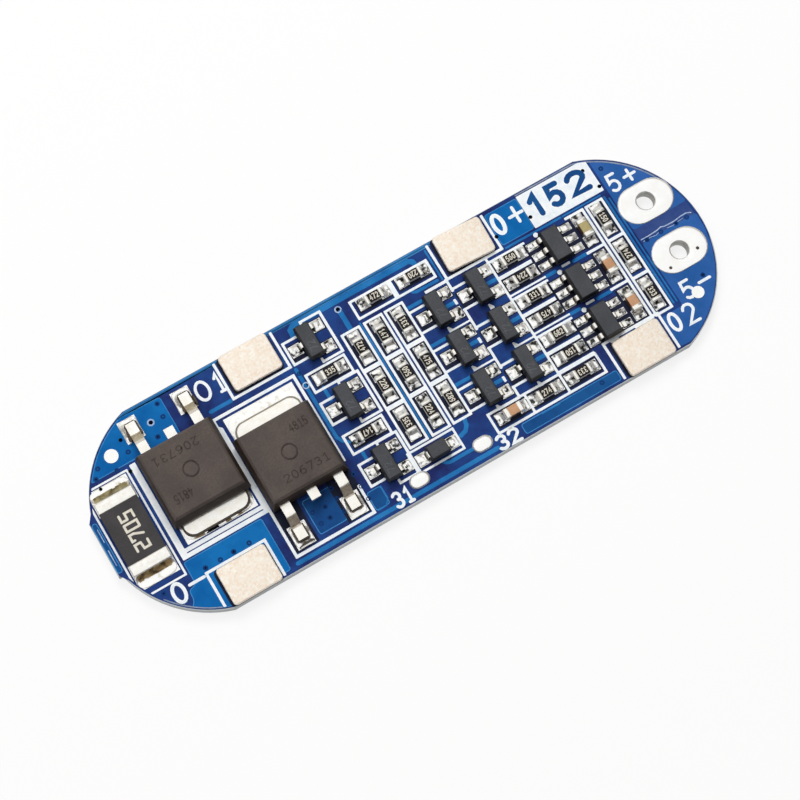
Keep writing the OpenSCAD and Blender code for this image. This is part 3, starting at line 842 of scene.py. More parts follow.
def write(bm, text, x, y, width, height, pen, profile, gap=0.35, turn=0.0, figures=FIGURES):
    """Writes figures from (x, y), the lower left of the first cell. Each stroke is a hair
    higher than the last, so that two strokes that cross never share a face."""
    c, s = math.cos(math.radians(turn)), math.sin(math.radians(turn))
    count = 0
    for index, sign in enumerate(text):
        for points in figures.get(sign, []):
            cell = [((px + index * (1 + gap)) * width, py * height / CELL_H) for px, py in points]
            placed = [(x + c * u - s * v, y + s * u + c * v) for u, v in cell]
            plate(bm, stroke_outline(placed, pen, 4),
                  [(i, z + 0.0012 * (count % 3)) for i, z in profile])
            count += 1


PRINTED = [(0, BOARD_TOP), (0.0, INK_TOP - 0.006), (0.012, INK_TOP)]
bm = bmesh.new()
# signs, lower left corner, width and height of a cell, pen
terminal_signs = [
    ("0", -14.72, 6.25, 1.2, 1.55, 0.24), ("1", -13.05, 6.25, 0.62, 1.55, 0.24),
    ("0", -23.72, -6.4, 1.05, 1.5, 0.28), ("-", -22.25, -6.15, 1.25, 1.25, 0.24),
    ("3", -5.95, -8.4, 0.72, 1.15, 0.24), ("1", -5.02, -8.4, 0.55, 1.15, 0.24),
    ("3", 3.1, -8.5, 0.85, 1.05, 0.26), ("2", 4.15, -8.5, 0.85, 1.05, 0.26),
    ("0", 11.95, 6.35, 0.92, 1.6, 0.34), ("+", 13.45, 6.2, 1.15, 1.95, 0.26),
    ("5", 21.62, 4.85, 0.92, 1.4, 0.24), ("+", 23.02, 4.8, 0.98, 1.4, 0.24),
    ("5", 21.85, -5.55, 0.95, 1.42, 0.24), ("-", 23.38, -5.5, 1.0, 1.3, 0.24),
    ("0", 19.6, -7.3, 0.85, 1.45, 0.27), ("2", 20.95, -7.35, 1.0, 1.55, 0.24),
]
for row in terminal_signs:
    write(bm, *row, PRINTED)
marks = finished("terminal_figures", bm, [ink], smooth_angle=0)
print("terminal figures:", len(marks.data.polygons), "faces")

# %% [markdown]
# ## The rating field
# A solid white field with figures left out of the ink shows the mask through them. It is
# quicker and cleaner to lay mask-coloured figures a few micrometres above the field than to
# cut them out of it, and nobody can see the difference. The figures are plain numbers.

# %% Figures in the rating field
KNOCKED_OUT = [(0, INK_TOP - 0.01), (0, INK_TOP + 0.002), (0.005, INK_TOP + 0.004)]
RATING_Y, RATING_H, RATING_PEN = 6.2, 1.66, 0.46
bm = bmesh.new()
for sign, x, width in (("1", 15.2, 1.25), ("5", 16.95, 1.2), ("2", 18.8, 1.6)):
    # the first stroke is the whole figure, but for the foot of the 1, which this one lacks
    placed = [(x + px * width, RATING_Y + py * RATING_H / CELL_H) for px, py in FIGURES[sign][0]]
    plate(bm, stroke_outline(placed, RATING_PEN, 5), KNOCKED_OUT)
rating = finished("rating_figures", bm, [mask_on_plane], smooth_angle=0)
print("rating figures:", len(rating.data.polygons), "faces")

# %% [markdown]
# ## Tin and solder
# The bare lands are levelled with molten tin, so they are bright, almost flat mirrors with soft
# edges. Solder that froze round a lead is bright too, but curved, so it mirrors dark things as
# well as light ones. Tin has a warm grey face colour near white. All keep the default IOR,
# because a metal's colour comes from its base colour. A faint ripple stands for the frozen skin.
# Some colours are painted reflection and shade: the small joints, the lead slopes, the shunt's
# fillets.


# %% Tin and solder materials
def metal_material(name, tint, dark, rough, ripple_size, ripple_depth, strength=0.3,
                   low=0.3, high=0.7, metallic=0.7):
    """Metal that drifts from a dark to a bright tint over ripples of the given size. A frozen
    skin is not a perfect mirror, so a part of its light is scattered."""
    material, tree, shader, place = new_material(name, rough=rough)
    ripple = cloud(tree, place, ripple_size, 3.0)
    tree.links.new(tone(tree, ripple, dark, tint, low, high), shader.inputs["Base Color"])
    relief(tree, shader, ripple, strength, ripple_depth)
    shader.inputs["Metallic"].default_value = metallic
    return material


# levelled by hot air: the bare lands
levelled_tin = metal_material("levelled_tin", "#FFFFFE", "#F9F8F5", 0.2, 0.0008, 0.00002)
# the small joints: dark and bright patches in the colour itself are painted reflections of their
# lumps
solder_with_painted_reflections = metal_material("solder_with_painted_reflections", "#FFFFFD", "#363837", 0.2, 0.00045, 0.00004, 0.6,
                               0.38, 0.5)
# slow to freeze and so smoother: the large joints and the layer under the tabs
smooth_solder = metal_material("smooth_solder", "#FFFEFA", "#DEDACF", 0.18, 0.0005, 0.00003, 0.4,
                               0.28, 0.44)
# plated on copper before the part was made: leads, heat tabs and the caps of chips
tin_plate = metal_material("tin_plate", "#FFFEF9", "#F8F3E8", 0.16, 0.0006, 0.00001)
cap_tin = metal_material("cap_tin", "#FFFEF9", "#F2EFE5", 0.16, 0.0003, 0.00002, 0.4)
# painted shade and reflection on lead slopes: dark on small leads, grey facing the near side, tan
# facing the back
slope_painted_shade = metal_material("tin_with_painted_shade_on_slopes", "#6E665C", "#3A3733", 0.4, 0.0003, 0.00001)
front_slope_reflection = metal_material("tin_painted_grey_reflection_on_slopes", "#D8CBBB", "#A89C8E", 0.35, 0.0004, 0.00001)
back_slope_reflection = metal_material("tin_painted_tan_reflection_on_slopes", "#C9BDA4", "#A4977F", 0.3, 0.0004, 0.00001)
# painted reflection and shadow: brown on the shunt's front fillet and past a heat tab, olive on its
# back fillet
brown_reflection_and_shadow = metal_material("solder_painted_brown_reflection_and_shadow", "#AE9468", "#4E402C", 0.3, 0.0005, 0.00003,
                            low=0.35, high=0.6, metallic=0.2)
olive_reflection = metal_material("solder_painted_olive_reflection", "#A69A72", "#564A28", 0.3, 0.0006, 0.00003,
                            low=0.35, high=0.6, metallic=0.2)
repaint("solder_lands", levelled_tin)
repaint("tab_solder", smooth_solder)
print("tin on the lands")


# %% [markdown]
# ## Solder joints
# Molten solder wets the land and climbs the part. Its surface is hollow against the wall of the
# part and rounded over the edge of the land. Each joint is a small height map on a rounded
# land: a film, plus a skirt that falls away from the part. Noise makes every joint a little
# different, as no two freeze alike.


# %% A solder joint as a height map
def solder_pool(bm, x, y, turn, size, skirt, film, cells=(14, 12), rough=0.02, slot_at=None):
    """A pool on a land. skirt(u, v) is the extra height in mm at land coordinates in mm, and
    stain(u, v) is the material slot there."""
    c, s = math.cos(math.radians(turn)), math.sin(math.radians(turn))
    grid, at = [], {}
    for i in range(cells[0] + 1):
        row = []
        for j in range(cells[1] + 1):
            a, b = 2 * i / cells[0] - 1, 2 * j / cells[1] - 1
            # a square grid on a rounded land, with its cells packed towards the rim
            a, b = math.sin(a * math.pi / 2), math.sin(b * math.pi / 2)
            pinch = 0.16 * abs(a * b) ** 4
            u, v = a * (1 - pinch) * size[0] / 2, b * (1 - pinch) * size[1] / 2
            edge = max(0.0, 1 - max(abs(a), abs(b)) ** 6)
            # each joint reads a patch of the noise of its own
            jitter = noise.noise(Vector((x * 3.1 + u * 2.6, y * 2.7 + v * 2.6, 0.7)))
            z = LAND_TOP + edge ** 0.5 * (film + skirt(u, v) + rough * jitter)
            row.append(bm.verts.new(((x + c * u - s * v) * MM, (y + s * u + c * v) * MM, z * MM)))
            at[row[-1]] = (u, v)
        grid.append(row)
    for i in range(cells[0]):
        for j in range(cells[1]):
            face = bm.faces.new((grid[i][j], grid[i + 1][j], grid[i + 1][j + 1], grid[i][j + 1]))
            face.smooth = True
            if slot_at:
                (u0, v0), (u1, v1) = at[grid[i][j]], at[grid[i + 1][j + 1]]
                face.material_index = slot_at((u0 + u1) / 2, (v0 + v1) / 2)
    rim = ([grid[i][0] for i in range(cells[0] + 1)] + grid[-1][1:]
           + [grid[i][-1] for i in range(cells[0] - 1, -1, -1)] + grid[0][-2:0:-1])
    bm.faces.new(list(reversed(rim)))


def chip_skirt(rise, length):
    """Climbs the end wall of a chip, which stands at the inner third of its land."""
    wall, half_width = -0.16, 0.56

    def height(u, v):
        out = max(0.0, u - wall)
        return rise * math.exp(-out / length) * (1 - min(1, abs(v) / half_width) ** 6)
    return height


def round_foot(half_length, half_width, rise, spread):
    """Climbs all round the foot of a lead."""
    def height(u, v):
        du, dv = max(0.0, abs(u) - half_length), max(0.0, abs(v) - half_width)
        return rise * math.exp(-math.hypot(du, dv) / spread)
    return height


def tab_skirt(end, half_width, radius, rise, spread):
    """Climbs the edge of a heat tab whose rounded corners begin at u = end."""
    def height(u, v):
        du, dv = max(0.0, u - end), max(0.0, abs(v) - half_width + radius)
        out = max(0.0, math.hypot(du, dv) - radius)
        return rise * math.exp(-out / spread)
    return height


# %% The small joints
def offset(x, y, turn, distance):
    a = math.radians(turn)
    return (x + distance * math.cos(a), y + distance * math.sin(a))


# sizes of the lands, and how far they lie from the middle of the part
CHIP_LAND, CHIP_REACH = (0.92, 0.93), 0.96
LEAD_LAND, LEAD_REACH = (0.93, 0.9), 1.2
FINE_LAND, FINE_REACH = (0.93, 0.58), 1.5
DIODE_LAND, DIODE_REACH = (0.93, 0.95), 1.3
bm = bmesh.new()
for (x, y, turn), rise in [(p, 0.3) for p in resistors] + [(p, 0.42) for p in capacitors]:
    for way in (0, 180):
        solder_pool(bm, *offset(x, y, turn + way, CHIP_REACH), turn + way, CHIP_LAND,
                    chip_skirt(rise, 0.15), film=0.05, cells=(16, 12), rough=0.05)
for x, y in transistors:
    for dx, dy in ((-LEAD_REACH, 0), (LEAD_REACH, PITCH), (LEAD_REACH, -PITCH)):
        solder_pool(bm, x + dx, y + dy, 0, LEAD_LAND, round_foot(0.12, 0.2, 0.1, 0.12), film=0.04)
for x, y in controllers:
    for side in (-1, 1):
        for dy in (-PITCH, 0, PITCH):
            solder_pool(bm, x + side * FINE_REACH, y + dy, 0, FINE_LAND,
                        round_foot(0.12, 0.2, 0.1, 0.1), film=0.03, cells=(12, 8))
for side in (-1, 1):
    solder_pool(bm, diode_x + side * DIODE_REACH, diode_y, 0, DIODE_LAND,
                round_foot(0.12, 0.18, 0.1, 0.12), film=0.04)
small_joints = finished("small_joints", bm, [solder_with_painted_reflections], smooth_angle=0)
print("small joints:", len(small_joints.data.polygons), "faces")

# %% [markdown]
# ## Large joints
# The heat tabs and the shunt stand in wide pools of solder. Brown and olive on the shunt's
# fillets are painted reflections, and a brown band past one heat tab is painted shadow.
# A pool's faces take one of four finishes from a small function of their place on the land.

# %% The large joints
# each power transistor: middle of its moulding, and the way its leads point
power = []
for number in (1, 2):
    x, y = middle(f"mosfet_{number}_moulding")
    power.append((x, y, 1 if middle(f"mosfet_{number}_lead_frame")[1] > y else -1))
LEAD_PITCH = 2.286                 # from the cropped middle lead to an outer one
SLUG_END, SLUG_W, SLUG_R = 4.15, 5.35, 0.8     # reach, width and corner radius of a heat tab
LAND_INNER, LAND_W = 1.4, 5.98     # near end and width of the land under a heat tab
LAND_OUTER = (4.43, 5.18)          # far end of that land for each transistor
LEAD_SLIP = (-0.12, 0.0)           # how far each one's outer leads sit beside their lands
POWER_LAND, POWER_REACH = (1.9, 1.5), 5.5
SHUNT_LAND, SHUNT_REACH = (2.1, 3.28), 3.2
BROWN_SLOT, OLIVE_SLOT, DARK_SLOT = 1, 2, 3


def shadow_past_tab_end(u, v):
    """Painted shadow: a brown band along the far edge of the land, past the end of the heat tab,
    with a darker patch on one stretch.
    """
    if u > 1.38 and -1.4 < v < -0.3:
        return DARK_SLOT
    return BROWN_SLOT if u > 1.3 and noise.noise(Vector((v * 2.3, 4.0, 0.5))) > -0.05 else 0


def reflection_on_slope(side):
    """Painted reflection: brown on the front fillet, which faces the dark near side of the room,
    paler olive on the back one.
    """
    def slot(u, v):
        wave = 0.12 * noise.noise(Vector((v * 1.7, side * 3.0, 0.2)))
        inside = -0.25 < u < (0.42 if side < 0 else 0.5) + wave and abs(v) < 1.42 + wave
        return (BROWN_SLOT if side < 0 else OLIVE_SLOT) if inside else 0
    return slot


def shunt_skirt(u, v):
    """A steep fillet against the shunt's end cap, low below it and rounded at the corners."""
    slope = 0.46 * max(0.0, 1 - max(0, u + 0.1) / 0.62) ** 1.3 if u > -0.3 else 0.2
    return slope * (1 - min(1, abs(v) / 1.72) ** 8)


bm = bmesh.new()
for (x, y, way), reach, slip in zip(power, LAND_OUTER, LEAD_SLIP):
    for side in (-1, 1):
        solder_pool(bm, x + side * LEAD_PITCH + slip, y + way * POWER_REACH, 90 * way, POWER_LAND,
                    round_foot(0.36, 0.4, 0.26, 0.09), film=0.05, cells=(22, 20), rough=0.05)
    # the joint of the heat tab runs round three sides of it
    centre = (reach + LAND_INNER) / 2
    solder_pool(bm, x, y - way * centre, -90 * way, (reach - LAND_INNER, LAND_W),
                tab_skirt(SLUG_END - centre - SLUG_R, SLUG_W / 2, SLUG_R, 0.14, 0.3), film=0.02,
                cells=(34, 60), rough=0.012 if way < 0 else 0.05,
                slot_at=shadow_past_tab_end if way > 0 else None)
shunt_x, shunt_y = middle("shunt")
for side in (-1, 1):
    solder_pool(bm, shunt_x, shunt_y + side * SHUNT_REACH, 90 * side, SHUNT_LAND, shunt_skirt,
                film=0.07, cells=(36, 24), rough=0.06, slot_at=reflection_on_slope(side))
joints = finished("solder_pools", bm, [smooth_solder, brown_reflection_and_shadow, olive_reflection, shade_tint],
                  smooth_angle=0)
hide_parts("solder_joints")
print("solder pools:", len(joints.data.polygons), "faces")

# %% [markdown]
# ## Painted shade round the joints
# The rim of each large joint, where solder meets a foot or a heat tab, lies in shade, painted as a
# thin dark line, paler round one heat tab, and in lumps where a foot stands beside its land. The
# lines are narrow strokes with height, so that they stay sharp from every side.

# %% Painted shade lines round the large joints
joint_shade = new_material("painted_shade_at_joint_rims", "#3E3326", 0.4)[0]
pale_joint_shade = new_material("pale_painted_shade_at_joint_rims", "#8A8478", 0.4)[0]
SHADE_LINE = [(0, LAND_TOP), (0, LAND_TOP + 0.36), (0.02, LAND_TOP + 0.4)]
SHADE_LUMP = [(0, LAND_TOP), (0, LAND_TOP + 0.42), (0.03, LAND_TOP + 0.46)]
FOOT = [(-0.46, 4.85), (-0.46, 5.8), (-0.36, 5.94), (0.36, 5.94), (0.46, 5.8), (0.46, 4.85)]
bm = bmesh.new()
for x, y, way in power:
    for side in (-1, 1):
        outline = [(x + side * LEAD_PITCH + u, y + way * v) for u, v in FOOT]
        plate(bm, stroke_outline(outline, 0.13), SHADE_LINE)
    half, end = SLUG_W / 2 + 0.05, SLUG_END + 0.05
    turn = [(half - SLUG_R * (1 - math.cos(math.radians(a))),
             end - SLUG_R * (1 - math.sin(math.radians(a)))) for a in range(0, 91, 15)]
    bow = [(half, 2.2)] + turn + [(-u, v) for u, v in turn[::-1]] + [(-half, 2.2)]
    plate(bm, stroke_outline([(x + u, y - way * v) for u, v in bow], 0.14), SHADE_LINE, int(way < 0))
shade_lumps = [
    [(-20.84, 6.3), (-20.66, 6.15), (-20.5, 6.2), (-20.5, 7.2), (-20.66, 7.25), (-20.74, 6.9)],
    [(-19.74, 6.3), (-19.58, 6.35), (-19.6, 6.75), (-19.72, 6.95)],
    [(-16.16, 6.1), (-15.88, 6.0), (-15.88, 7.0), (-16.06, 6.95), (-16.2, 6.4)],
    [(-15.06, 6.25), (-14.92, 6.2), (-14.86, 6.7), (-14.95, 7.1), (-15.06, 7.0)],
    [(-13.85, -7.3), (-12.5, -7.28), (-12.75, -7.12), (-13.0, -7.2), (-13.3, -7.1),
     (-13.55, -7.2)],
]
for lump in shade_lumps:
    plate(bm, counter_clockwise(lump), SHADE_LUMP)
finished("flux_lines", bm, [joint_shade, pale_joint_shade], smooth_angle=0)
print("flux lines and", len(shade_lumps), "lumps drawn")

# %% [markdown]
# ## Moulded packages
# The bodies are black epoxy filled with fine silica, so they look dark grey and matte, with
# sides that taper to a parting line. The CAD shapes are right but razor sharp. A copy of each
# is welded, its flat areas are merged and its edges get a small round, which is what the mould
# gives a real one. The power packages come from a browner compound than the small ones.


# %% Epoxy
def epoxy_material(name, tint, pale, rough, specular=None):
    """Matte epoxy with silica grain of about 0.05 mm, drawn three times coarser to show. The
    same grain suits fired ceramic and glaze."""
    material, tree, shader, place = new_material(name, rough=rough, specular=specular)
    grain = cloud(tree, place, 0.00015, 4.0, 0.7)
    blend = add_node(tree, "ShaderNodeMath", {0: grain, 1: cloud(tree, place, 0.002, 2.0)},
                     operation="MULTIPLY")
    tree.links.new(tone(tree, blend.outputs[0], tint, pale, 0.12, 0.42),
                   shader.inputs["Base Color"])
    relief(tree, shader, grain, 0.35, 0.00001)
    shader.inputs["IOR"].default_value = 1.5
    return material


# as the mould's rough faces leave it: the tops of the power packages and of the small ones
brown_epoxy = epoxy_material("silica_epoxy_brown", "#463E3A", "#5A504B", 0.66)
grey_epoxy = epoxy_material("silica_epoxy_grey", "#393B3F", "#4A4C51", 0.6)
# the sides are painted near black: painted shade, as less light falls on them than on the tops
grey_side_shade = epoxy_material("grey_mould_side_painted_shade", "#131416", "#1B1C1F", 0.5)
brown_side_shade = epoxy_material("brown_mould_side_painted_shade", "#32271F", "#42352C", 0.6, 0.2)
# a laser chars the brown compound darker and turns the grey one paler
laser_mark = epoxy_material("laser_marked_epoxy", "#352E2A", "#463E39", 0.8)
pale_mark = epoxy_material("pale_laser_mark", "#4A4C51", "#63656A", 0.75)
print("epoxy made")

# %% [markdown]
# ## Power packages
# A power package is moulded round its lead frame in a two-part mould. The faces taper so that it
# leaves the mould, a pin pushes it out and leaves a ring on the top, and a laser writes its
# codes there. The solid's mesh is copied and its upper corners are drawn in a little more.

# %% The power mouldings
TOP_DROP = 0.01                    # room for the marks below the height of the solid
DRAFT, LEAN = 0.05, 0.06           # the real sides taper and lean a little more than the solid's


def circle_band(x, y, radius, width, low, high):
    """A flat ring as its own bmesh."""
    outlines = [ring_of(x, y, radius), ring_of(x, y, radius - width)]
    mesh = flat_curve_mesh("band", outlines, low, high)
    band = bmesh.new()
    band.from_mesh(mesh)
    bpy.data.meshes.remove(mesh)
    return band


for number, (x, y, way) in enumerate(power, 1):
    name = f"mosfet_{number}_moulding"
    low, high = cad(name, 2, 0), cad(name, 2, 1)
    bm = of_node(name)
    for vert in bm.verts:
        rise = (vert.co.z / MM - low) / (high - low)
        vert.co.x += (x - vert.co.x / MM) * DRAFT * rise * MM
        vert.co.x -= LEAN * rise * MM
        vert.co.z -= TOP_DROP * rise * MM
    bm.normal_update()
    # faces that stand upright take the second material: painted shade on the sides
    for face in bm.faces:
        face.material_index = int(abs(face.normal.z) < 0.5)
    body = finished(f"power_moulding_{number}", bm, [brown_epoxy, brown_side_shade],
                    bevel=0.06, segments=3, angle=25)
    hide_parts(name)
    face = high - TOP_DROP
    etched = [(0, face - 0.02), (0, face + 0.002), (0.004, face + 0.004)]
    # a ring from the mould's pin, and two lines of plain figures whose feet point to the leads
    bm = circle_band(x - 0.07, y, 0.64, 0.07, face - 0.02, face + 0.002)
    for text, u, v, width, height in (("4815", 0.78, 1.2, 0.3, 0.66),
                                      ("206731", -1.47, -2.0, 0.5, 0.6)):
        write(bm, text, x - way * u, y - way * v, width, height, 0.1, etched, gap=0.32,
              turn=0 if way < 0 else 180)
    finished(f"laser_marks_{number}", bm, [laser_mark], smooth_angle=0)
    print(body.name, len(body.data.polygons), "faces")

# %% [markdown]
# ## Small packages
# The small packages have two tapered halves that meet at a parting line, level with the leads.
# One stack of rounded rectangles makes both halves, and three rows of numbers give the three
# kinds. A small code is burnt in the top of each transistor.

# %% Small bodies
# length, width, height, height of the parting line, and draft
HALVES = {"transistor": (1.3, 2.9, 1.0, 0.55, 0.09), "controller": (1.6, 2.9, 1.1, 0.55, 0.11),
          "diode": (1.7, 1.25, 0.95, 0.45, 0.07)}


def small_body(bm, x, y, kind):
    """Two tapered halves that meet at a parting line, with rounded upper edges. Their sides take
    the second material, which is painted shade.
    """
    length, width, height, parting, draft = HALVES[kind]
    z = LAND_TOP
    plate(bm, block(x, y, length, width, 0.05, steps=2),
          [(draft / 2 + 0.02, z + 0.05), (draft / 2, z + 0.08), (0.01, z + parting - 0.02),
           (0.0, z + parting), (0.012, z + parting + 0.02), (draft, z + height - 0.06),
           (draft + 0.02, z + height - 0.015), (draft + 0.06, z + height)], side_slot=1)


bm = bmesh.new()
for x, y in transistors:
    small_body(bm, x, y, "transistor")
bodies = finished("transistor_bodies", bm, [grey_epoxy, grey_side_shade])
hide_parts(*members("transistor_"))
bm = bmesh.new()
for x, y in controllers:
    small_body(bm, x, y, "controller")
bodies = finished("controller_bodies", bm, [grey_epoxy, grey_side_shade])
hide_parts(*members("controller_"))
bm = bmesh.new()
small_body(bm, diode_x, diode_y, "diode")
bodies = finished("diode_body", bm, [grey_epoxy, grey_side_shade])
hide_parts("diode")
# a plain code on each transistor that reads up the board
CODE_Z = LAND_TOP + HALVES["transistor"][2]
bm = bmesh.new()
for x, y in transistors:
    write(bm, "72", x + 0.27, y - 0.95, 0.36, 0.56, 0.075,
          [(0, CODE_Z - 0.02), (0, CODE_Z + 0.002)], gap=0.25, turn=90)
finished("transistor_codes", bm, [pale_mark], smooth_angle=0)
print("small bodies made")

# %% [markdown]
# ## Formed leads
# A lead is a flat strip bent twice, so it leaves the body level, dips, and lies flat on its
# land. The bends are rounded round a tool. One strip is modelled for each size, and the second
# geometry tree copies it to every lead, with a slip of a few hundredths of a millimetre.


# %% A bent strip
def soft_path(points, radius):
    """A path in the (out, up) plane with its inner corners rounded."""
    steps = 4
    path = [points[0]]
    for before, here, after in zip(points, points[1:], points[2:]):
        before, here, after = Vector(before), Vector(here), Vector(after)
        cut = min(radius, (here - before).length / 2.1, (after - here).length / 2.1)
        start = here + (before - here).normalized() * cut
        end = here + (after - here).normalized() * cut
        path += [tuple(start * (1 - t) ** 2 + here * 2 * t * (1 - t) + end * t ** 2)
                 for t in (k / steps for k in range(steps + 1))]
    return path + [points[-1]]


def bent_strip(bm, path, width, thickness, at=(0, 0, 0), turn=0.0, bend=None):
    """Sweeps a flat section along the path; the path is the middle of the strip. bend is a
    (low, high) range of heights where faces get the second material."""
    c, s = math.cos(math.radians(turn)), math.sin(math.radians(turn))
    rings = []
    for i, here in enumerate(path):
        before, after = path[max(0, i - 1)], path[min(len(path) - 1, i + 1)]
        along = (Vector(after) - Vector(before)).normalized()
        up = Vector((-along.y, along.x)) * thickness / 2
        ring = []
        for across, side in ((-1, -1), (1, -1), (1, 1), (-1, 1)):
            u, w, z = here[0] + up.x * side, across * width / 2, here[1] + up.y * side
            ring.append(bm.verts.new(((at[0] + c * u - s * w) * MM, (at[1] + s * u + c * w) * MM,
                                      (at[2] + z) * MM)))
        rings.append(ring)
    bm.faces.new(rings[0][::-1])
    bm.faces.new(rings[-1])
    for i, (low, high) in enumerate(zip(rings, rings[1:])):
        on_bend = bend and bend[0] < (path[i][1] + path[i + 1][1]) / 2 < bend[1]
        for k in range(4):
            m = (k + 1) % 4
            bm.faces.new((low[k], low[m], high[m], high[k])).material_index = int(bool(on_bend))
    bmesh.ops.recalc_face_normals(bm, faces=bm.faces)


patterns = []


def part_object(name, bm, bevel=0.0):
    """An object that is only a pattern for copies, and is deleted at the end."""
    piece = finished(name, bm, [], bevel=bevel)
    patterns.append(piece)
    return piece


LEAD_T = 0.13                      # thickness of a small lead
# where a lead leaves the body, where its toe ends, and its width
lead_paths = {"transistor": (0.65, 1.22, 0.42), "controller": (0.8, 1.4, 0.42),
              "diode": (0.73, 1.27, 0.5)}
lead_parts, slope_parts = {}, {}
for kind, (wall, toe, width) in lead_paths.items():
    bm = bmesh.new()
    path = [(wall - 0.15, 0.56), (wall + 0.16, 0.56), (wall + 0.28, LEAD_T / 2 + 0.01),
            (toe, LEAD_T / 2 + 0.005)]
    bent_strip(bm, soft_path(path, 0.07), width, LEAD_T)
    lead_parts[kind] = part_object("lead_pattern_" + kind, bm, bevel=0.018)
    # painted shade on the slope between the two bends, a strip a hair thicker than the lead
    bm = bmesh.new()
    bent_strip(bm, [(wall + 0.18, 0.47), (wall + 0.27, 0.13)], width + 0.012, LEAD_T + 0.014)
    slope_parts[kind] = part_object("slope_pattern_" + kind, bm)
print("lead patterns:", ", ".join(lead_parts))

# %% Leads at all the small parts
places = {"transistor": [], "controller": [], "diode": []}
for x, y in transistors:
    places["transistor"] += [(x, y, 180), (x, y + PITCH, 0), (x, y - PITCH, 0)]
for x, y in controllers:
    places["controller"] += [(x, y + dy, turn) for turn in (0, 180) for dy in (-PITCH, 0, PITCH)]
places["diode"] = [(diode_x, diode_y, 0), (diode_x, diode_y, 180)]
for seed, kind in enumerate(places):
    # the same seed for both, so that a slope sits on its own lead
    for suffix, parts, finish in (("_leads", lead_parts, tin_plate),
                                  ("_lead_slopes", slope_parts, slope_painted_shade)):
        piece = grown(kind + suffix, copy_tree, places[kind], LAND_TOP, "tinned_copper",
                      Part=parts[kind], Slip=0.008 * MM, Twist=math.radians(0.6), Seed=seed,
                      Material=finish)
        print(piece.name, len(piece.data.polygons), "faces")

# %% [markdown]
# ## Power leads and heat tabs
# The frame of a power transistor is stamped from one thick strip of copper and plated with tin.
# Its outer leads are bent down to the board, the middle one is cropped short, and the heat tab
# lies flat on its land. The slopes between the bends get a painted reflection, chosen by height
# along the strip: grey where they face the near side, tan where they face the back.

# %% Power leads and heat tabs
POWER_T, POWER_W = 0.5, 0.8        # thickness and width of the strip
POWER_PATH = [(2.7, 1.1), (3.95, 1.1), (4.62, 0.34), (4.95, 0.25), (5.89, 0.25)]
CROPPED = [(2.7, 1.1), (3.88, 1.1)]
BEND = (0.27, 1.03)                # heights between which the slope gets the painted reflection
for number, (x, y, way) in enumerate(power, 1):
    bm = bmesh.new()
    turn = 90 * way
    for side in (-1, 1):
        bent_strip(bm, soft_path(POWER_PATH, 0.2), POWER_W, POWER_T,
                   (x + side * LEAD_PITCH, y, LAND_TOP), turn, bend=BEND)
    bent_strip(bm, CROPPED, POWER_W, POWER_T, (x, y, LAND_TOP), turn)
    half, r = SLUG_W / 2, SLUG_R
    outline = ([(half, 1.4), (-half, 1.4)] + arc(r - half, r - SLUG_END, r, r, 180, 270, 8)
               + arc(half - r, r - SLUG_END, r, r, 270, 360, 8))
    plate(bm, [(x + way * u, y + way * v) for u, v in outline],
          [(0.03, LAND_TOP), (0, LAND_TOP + 0.03), (0, LAND_TOP + POWER_T - 0.06),
           (0.02, LAND_TOP + POWER_T - 0.02), (0.07, LAND_TOP + POWER_T)])
    frame_piece = finished(f"power_leads_{number}", bm,
                           [tin_plate, back_slope_reflection if way > 0 else front_slope_reflection],
                           bevel=0.03, angle=50)
    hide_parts(f"mosfet_{number}_lead_frame")
    print(frame_piece.name, len(frame_piece.data.polygons), "faces")

# %% [markdown]
# ## Chip resistors and capacitors
# A chip resistor is a white alumina slab with a black glaze over its track, and a tinned cap
# round each end. The glaze carries three printed figures. A capacitor is a block of tan
# ceramic with the same caps. Each is modelled once and copied to its places, with no slip
# or twist.

# %% Ceramic, glaze and figures
# pressed alumina, and the glaze fired over the track of a resistor
alumina = epoxy_material("alumina", "#D8D6D0", "#E6E4DE", 0.5)
glaze = epoxy_material("resistor_glaze", "#15110F", "#211C19", 0.4, 0.2)
# two batches of capacitor ceramic, and a dark brown for the sides of both: painted shade
tan_ceramic = epoxy_material("capacitor_ceramic", "#BB8A64", "#D3A480", 0.45)
olive_ceramic = epoxy_material("capacitor_ceramic_olive", "#A39562", "#BBAC7A", 0.45)
shaded_ceramic = epoxy_material("ceramic_side_painted_shade", "#3B2418", "#57382A", 0.6)
# cream ink, a little worn
figure_ink, tree, shader, place = new_material("figure_ink", rough=0.55)
worn = tone(tree, cloud(tree, place, 0.0002, 3.0), "#CFC8B8", "#F2ECDF")
tree.links.new(worn, shader.inputs["Base Color"])
print("chip finishes made")


# %% Patterns for the chip parts
CHIP_L, CHIP_W = 1.6, 0.8
RESISTOR_CAP, CAPACITOR_CAP = 0.3, 0.42        # length of an end cap


def slab(bm, length, width, low, high, edge):
    """A rounded block from low to high."""
    plate(bm, block(0, 0, length, width, edge * 1.5, steps=2),
          [(edge, low), (0, low + edge), (0, high - edge), (edge * 0.3, high - edge * 0.3),
           (edge, high)])


def cap_ring(side, cap):
    """The plan of an end cap for an inset: its outer end gives way most, where it is rounded."""
    def ring(inset):
        length = cap - 1.25 * inset
        return centred(side * (CHIP_L / 2 - inset - length / 2), 0, length, CHIP_W - 0.6 * inset,
                       0.05, steps=2)
    return ring


def chip_patterns(name, height, edge, cap):
    core = bmesh.new()
    slab(core, CHIP_L - 0.06, CHIP_W - 0.04, 0.02, height - 0.03, edge)
    caps = bmesh.new()
    for side in (-1, 1):
        plate(caps, cap_ring(side, cap),
              [(0.03, 0), (0, 0.03), (0, height - 0.15), (0.015, height - 0.09),
               (0.045, height - 0.04), (0.085, height - 0.012), (0.13, height)], smooth=True)
    return part_object(name + "_core", core), part_object(name + "_caps", caps)


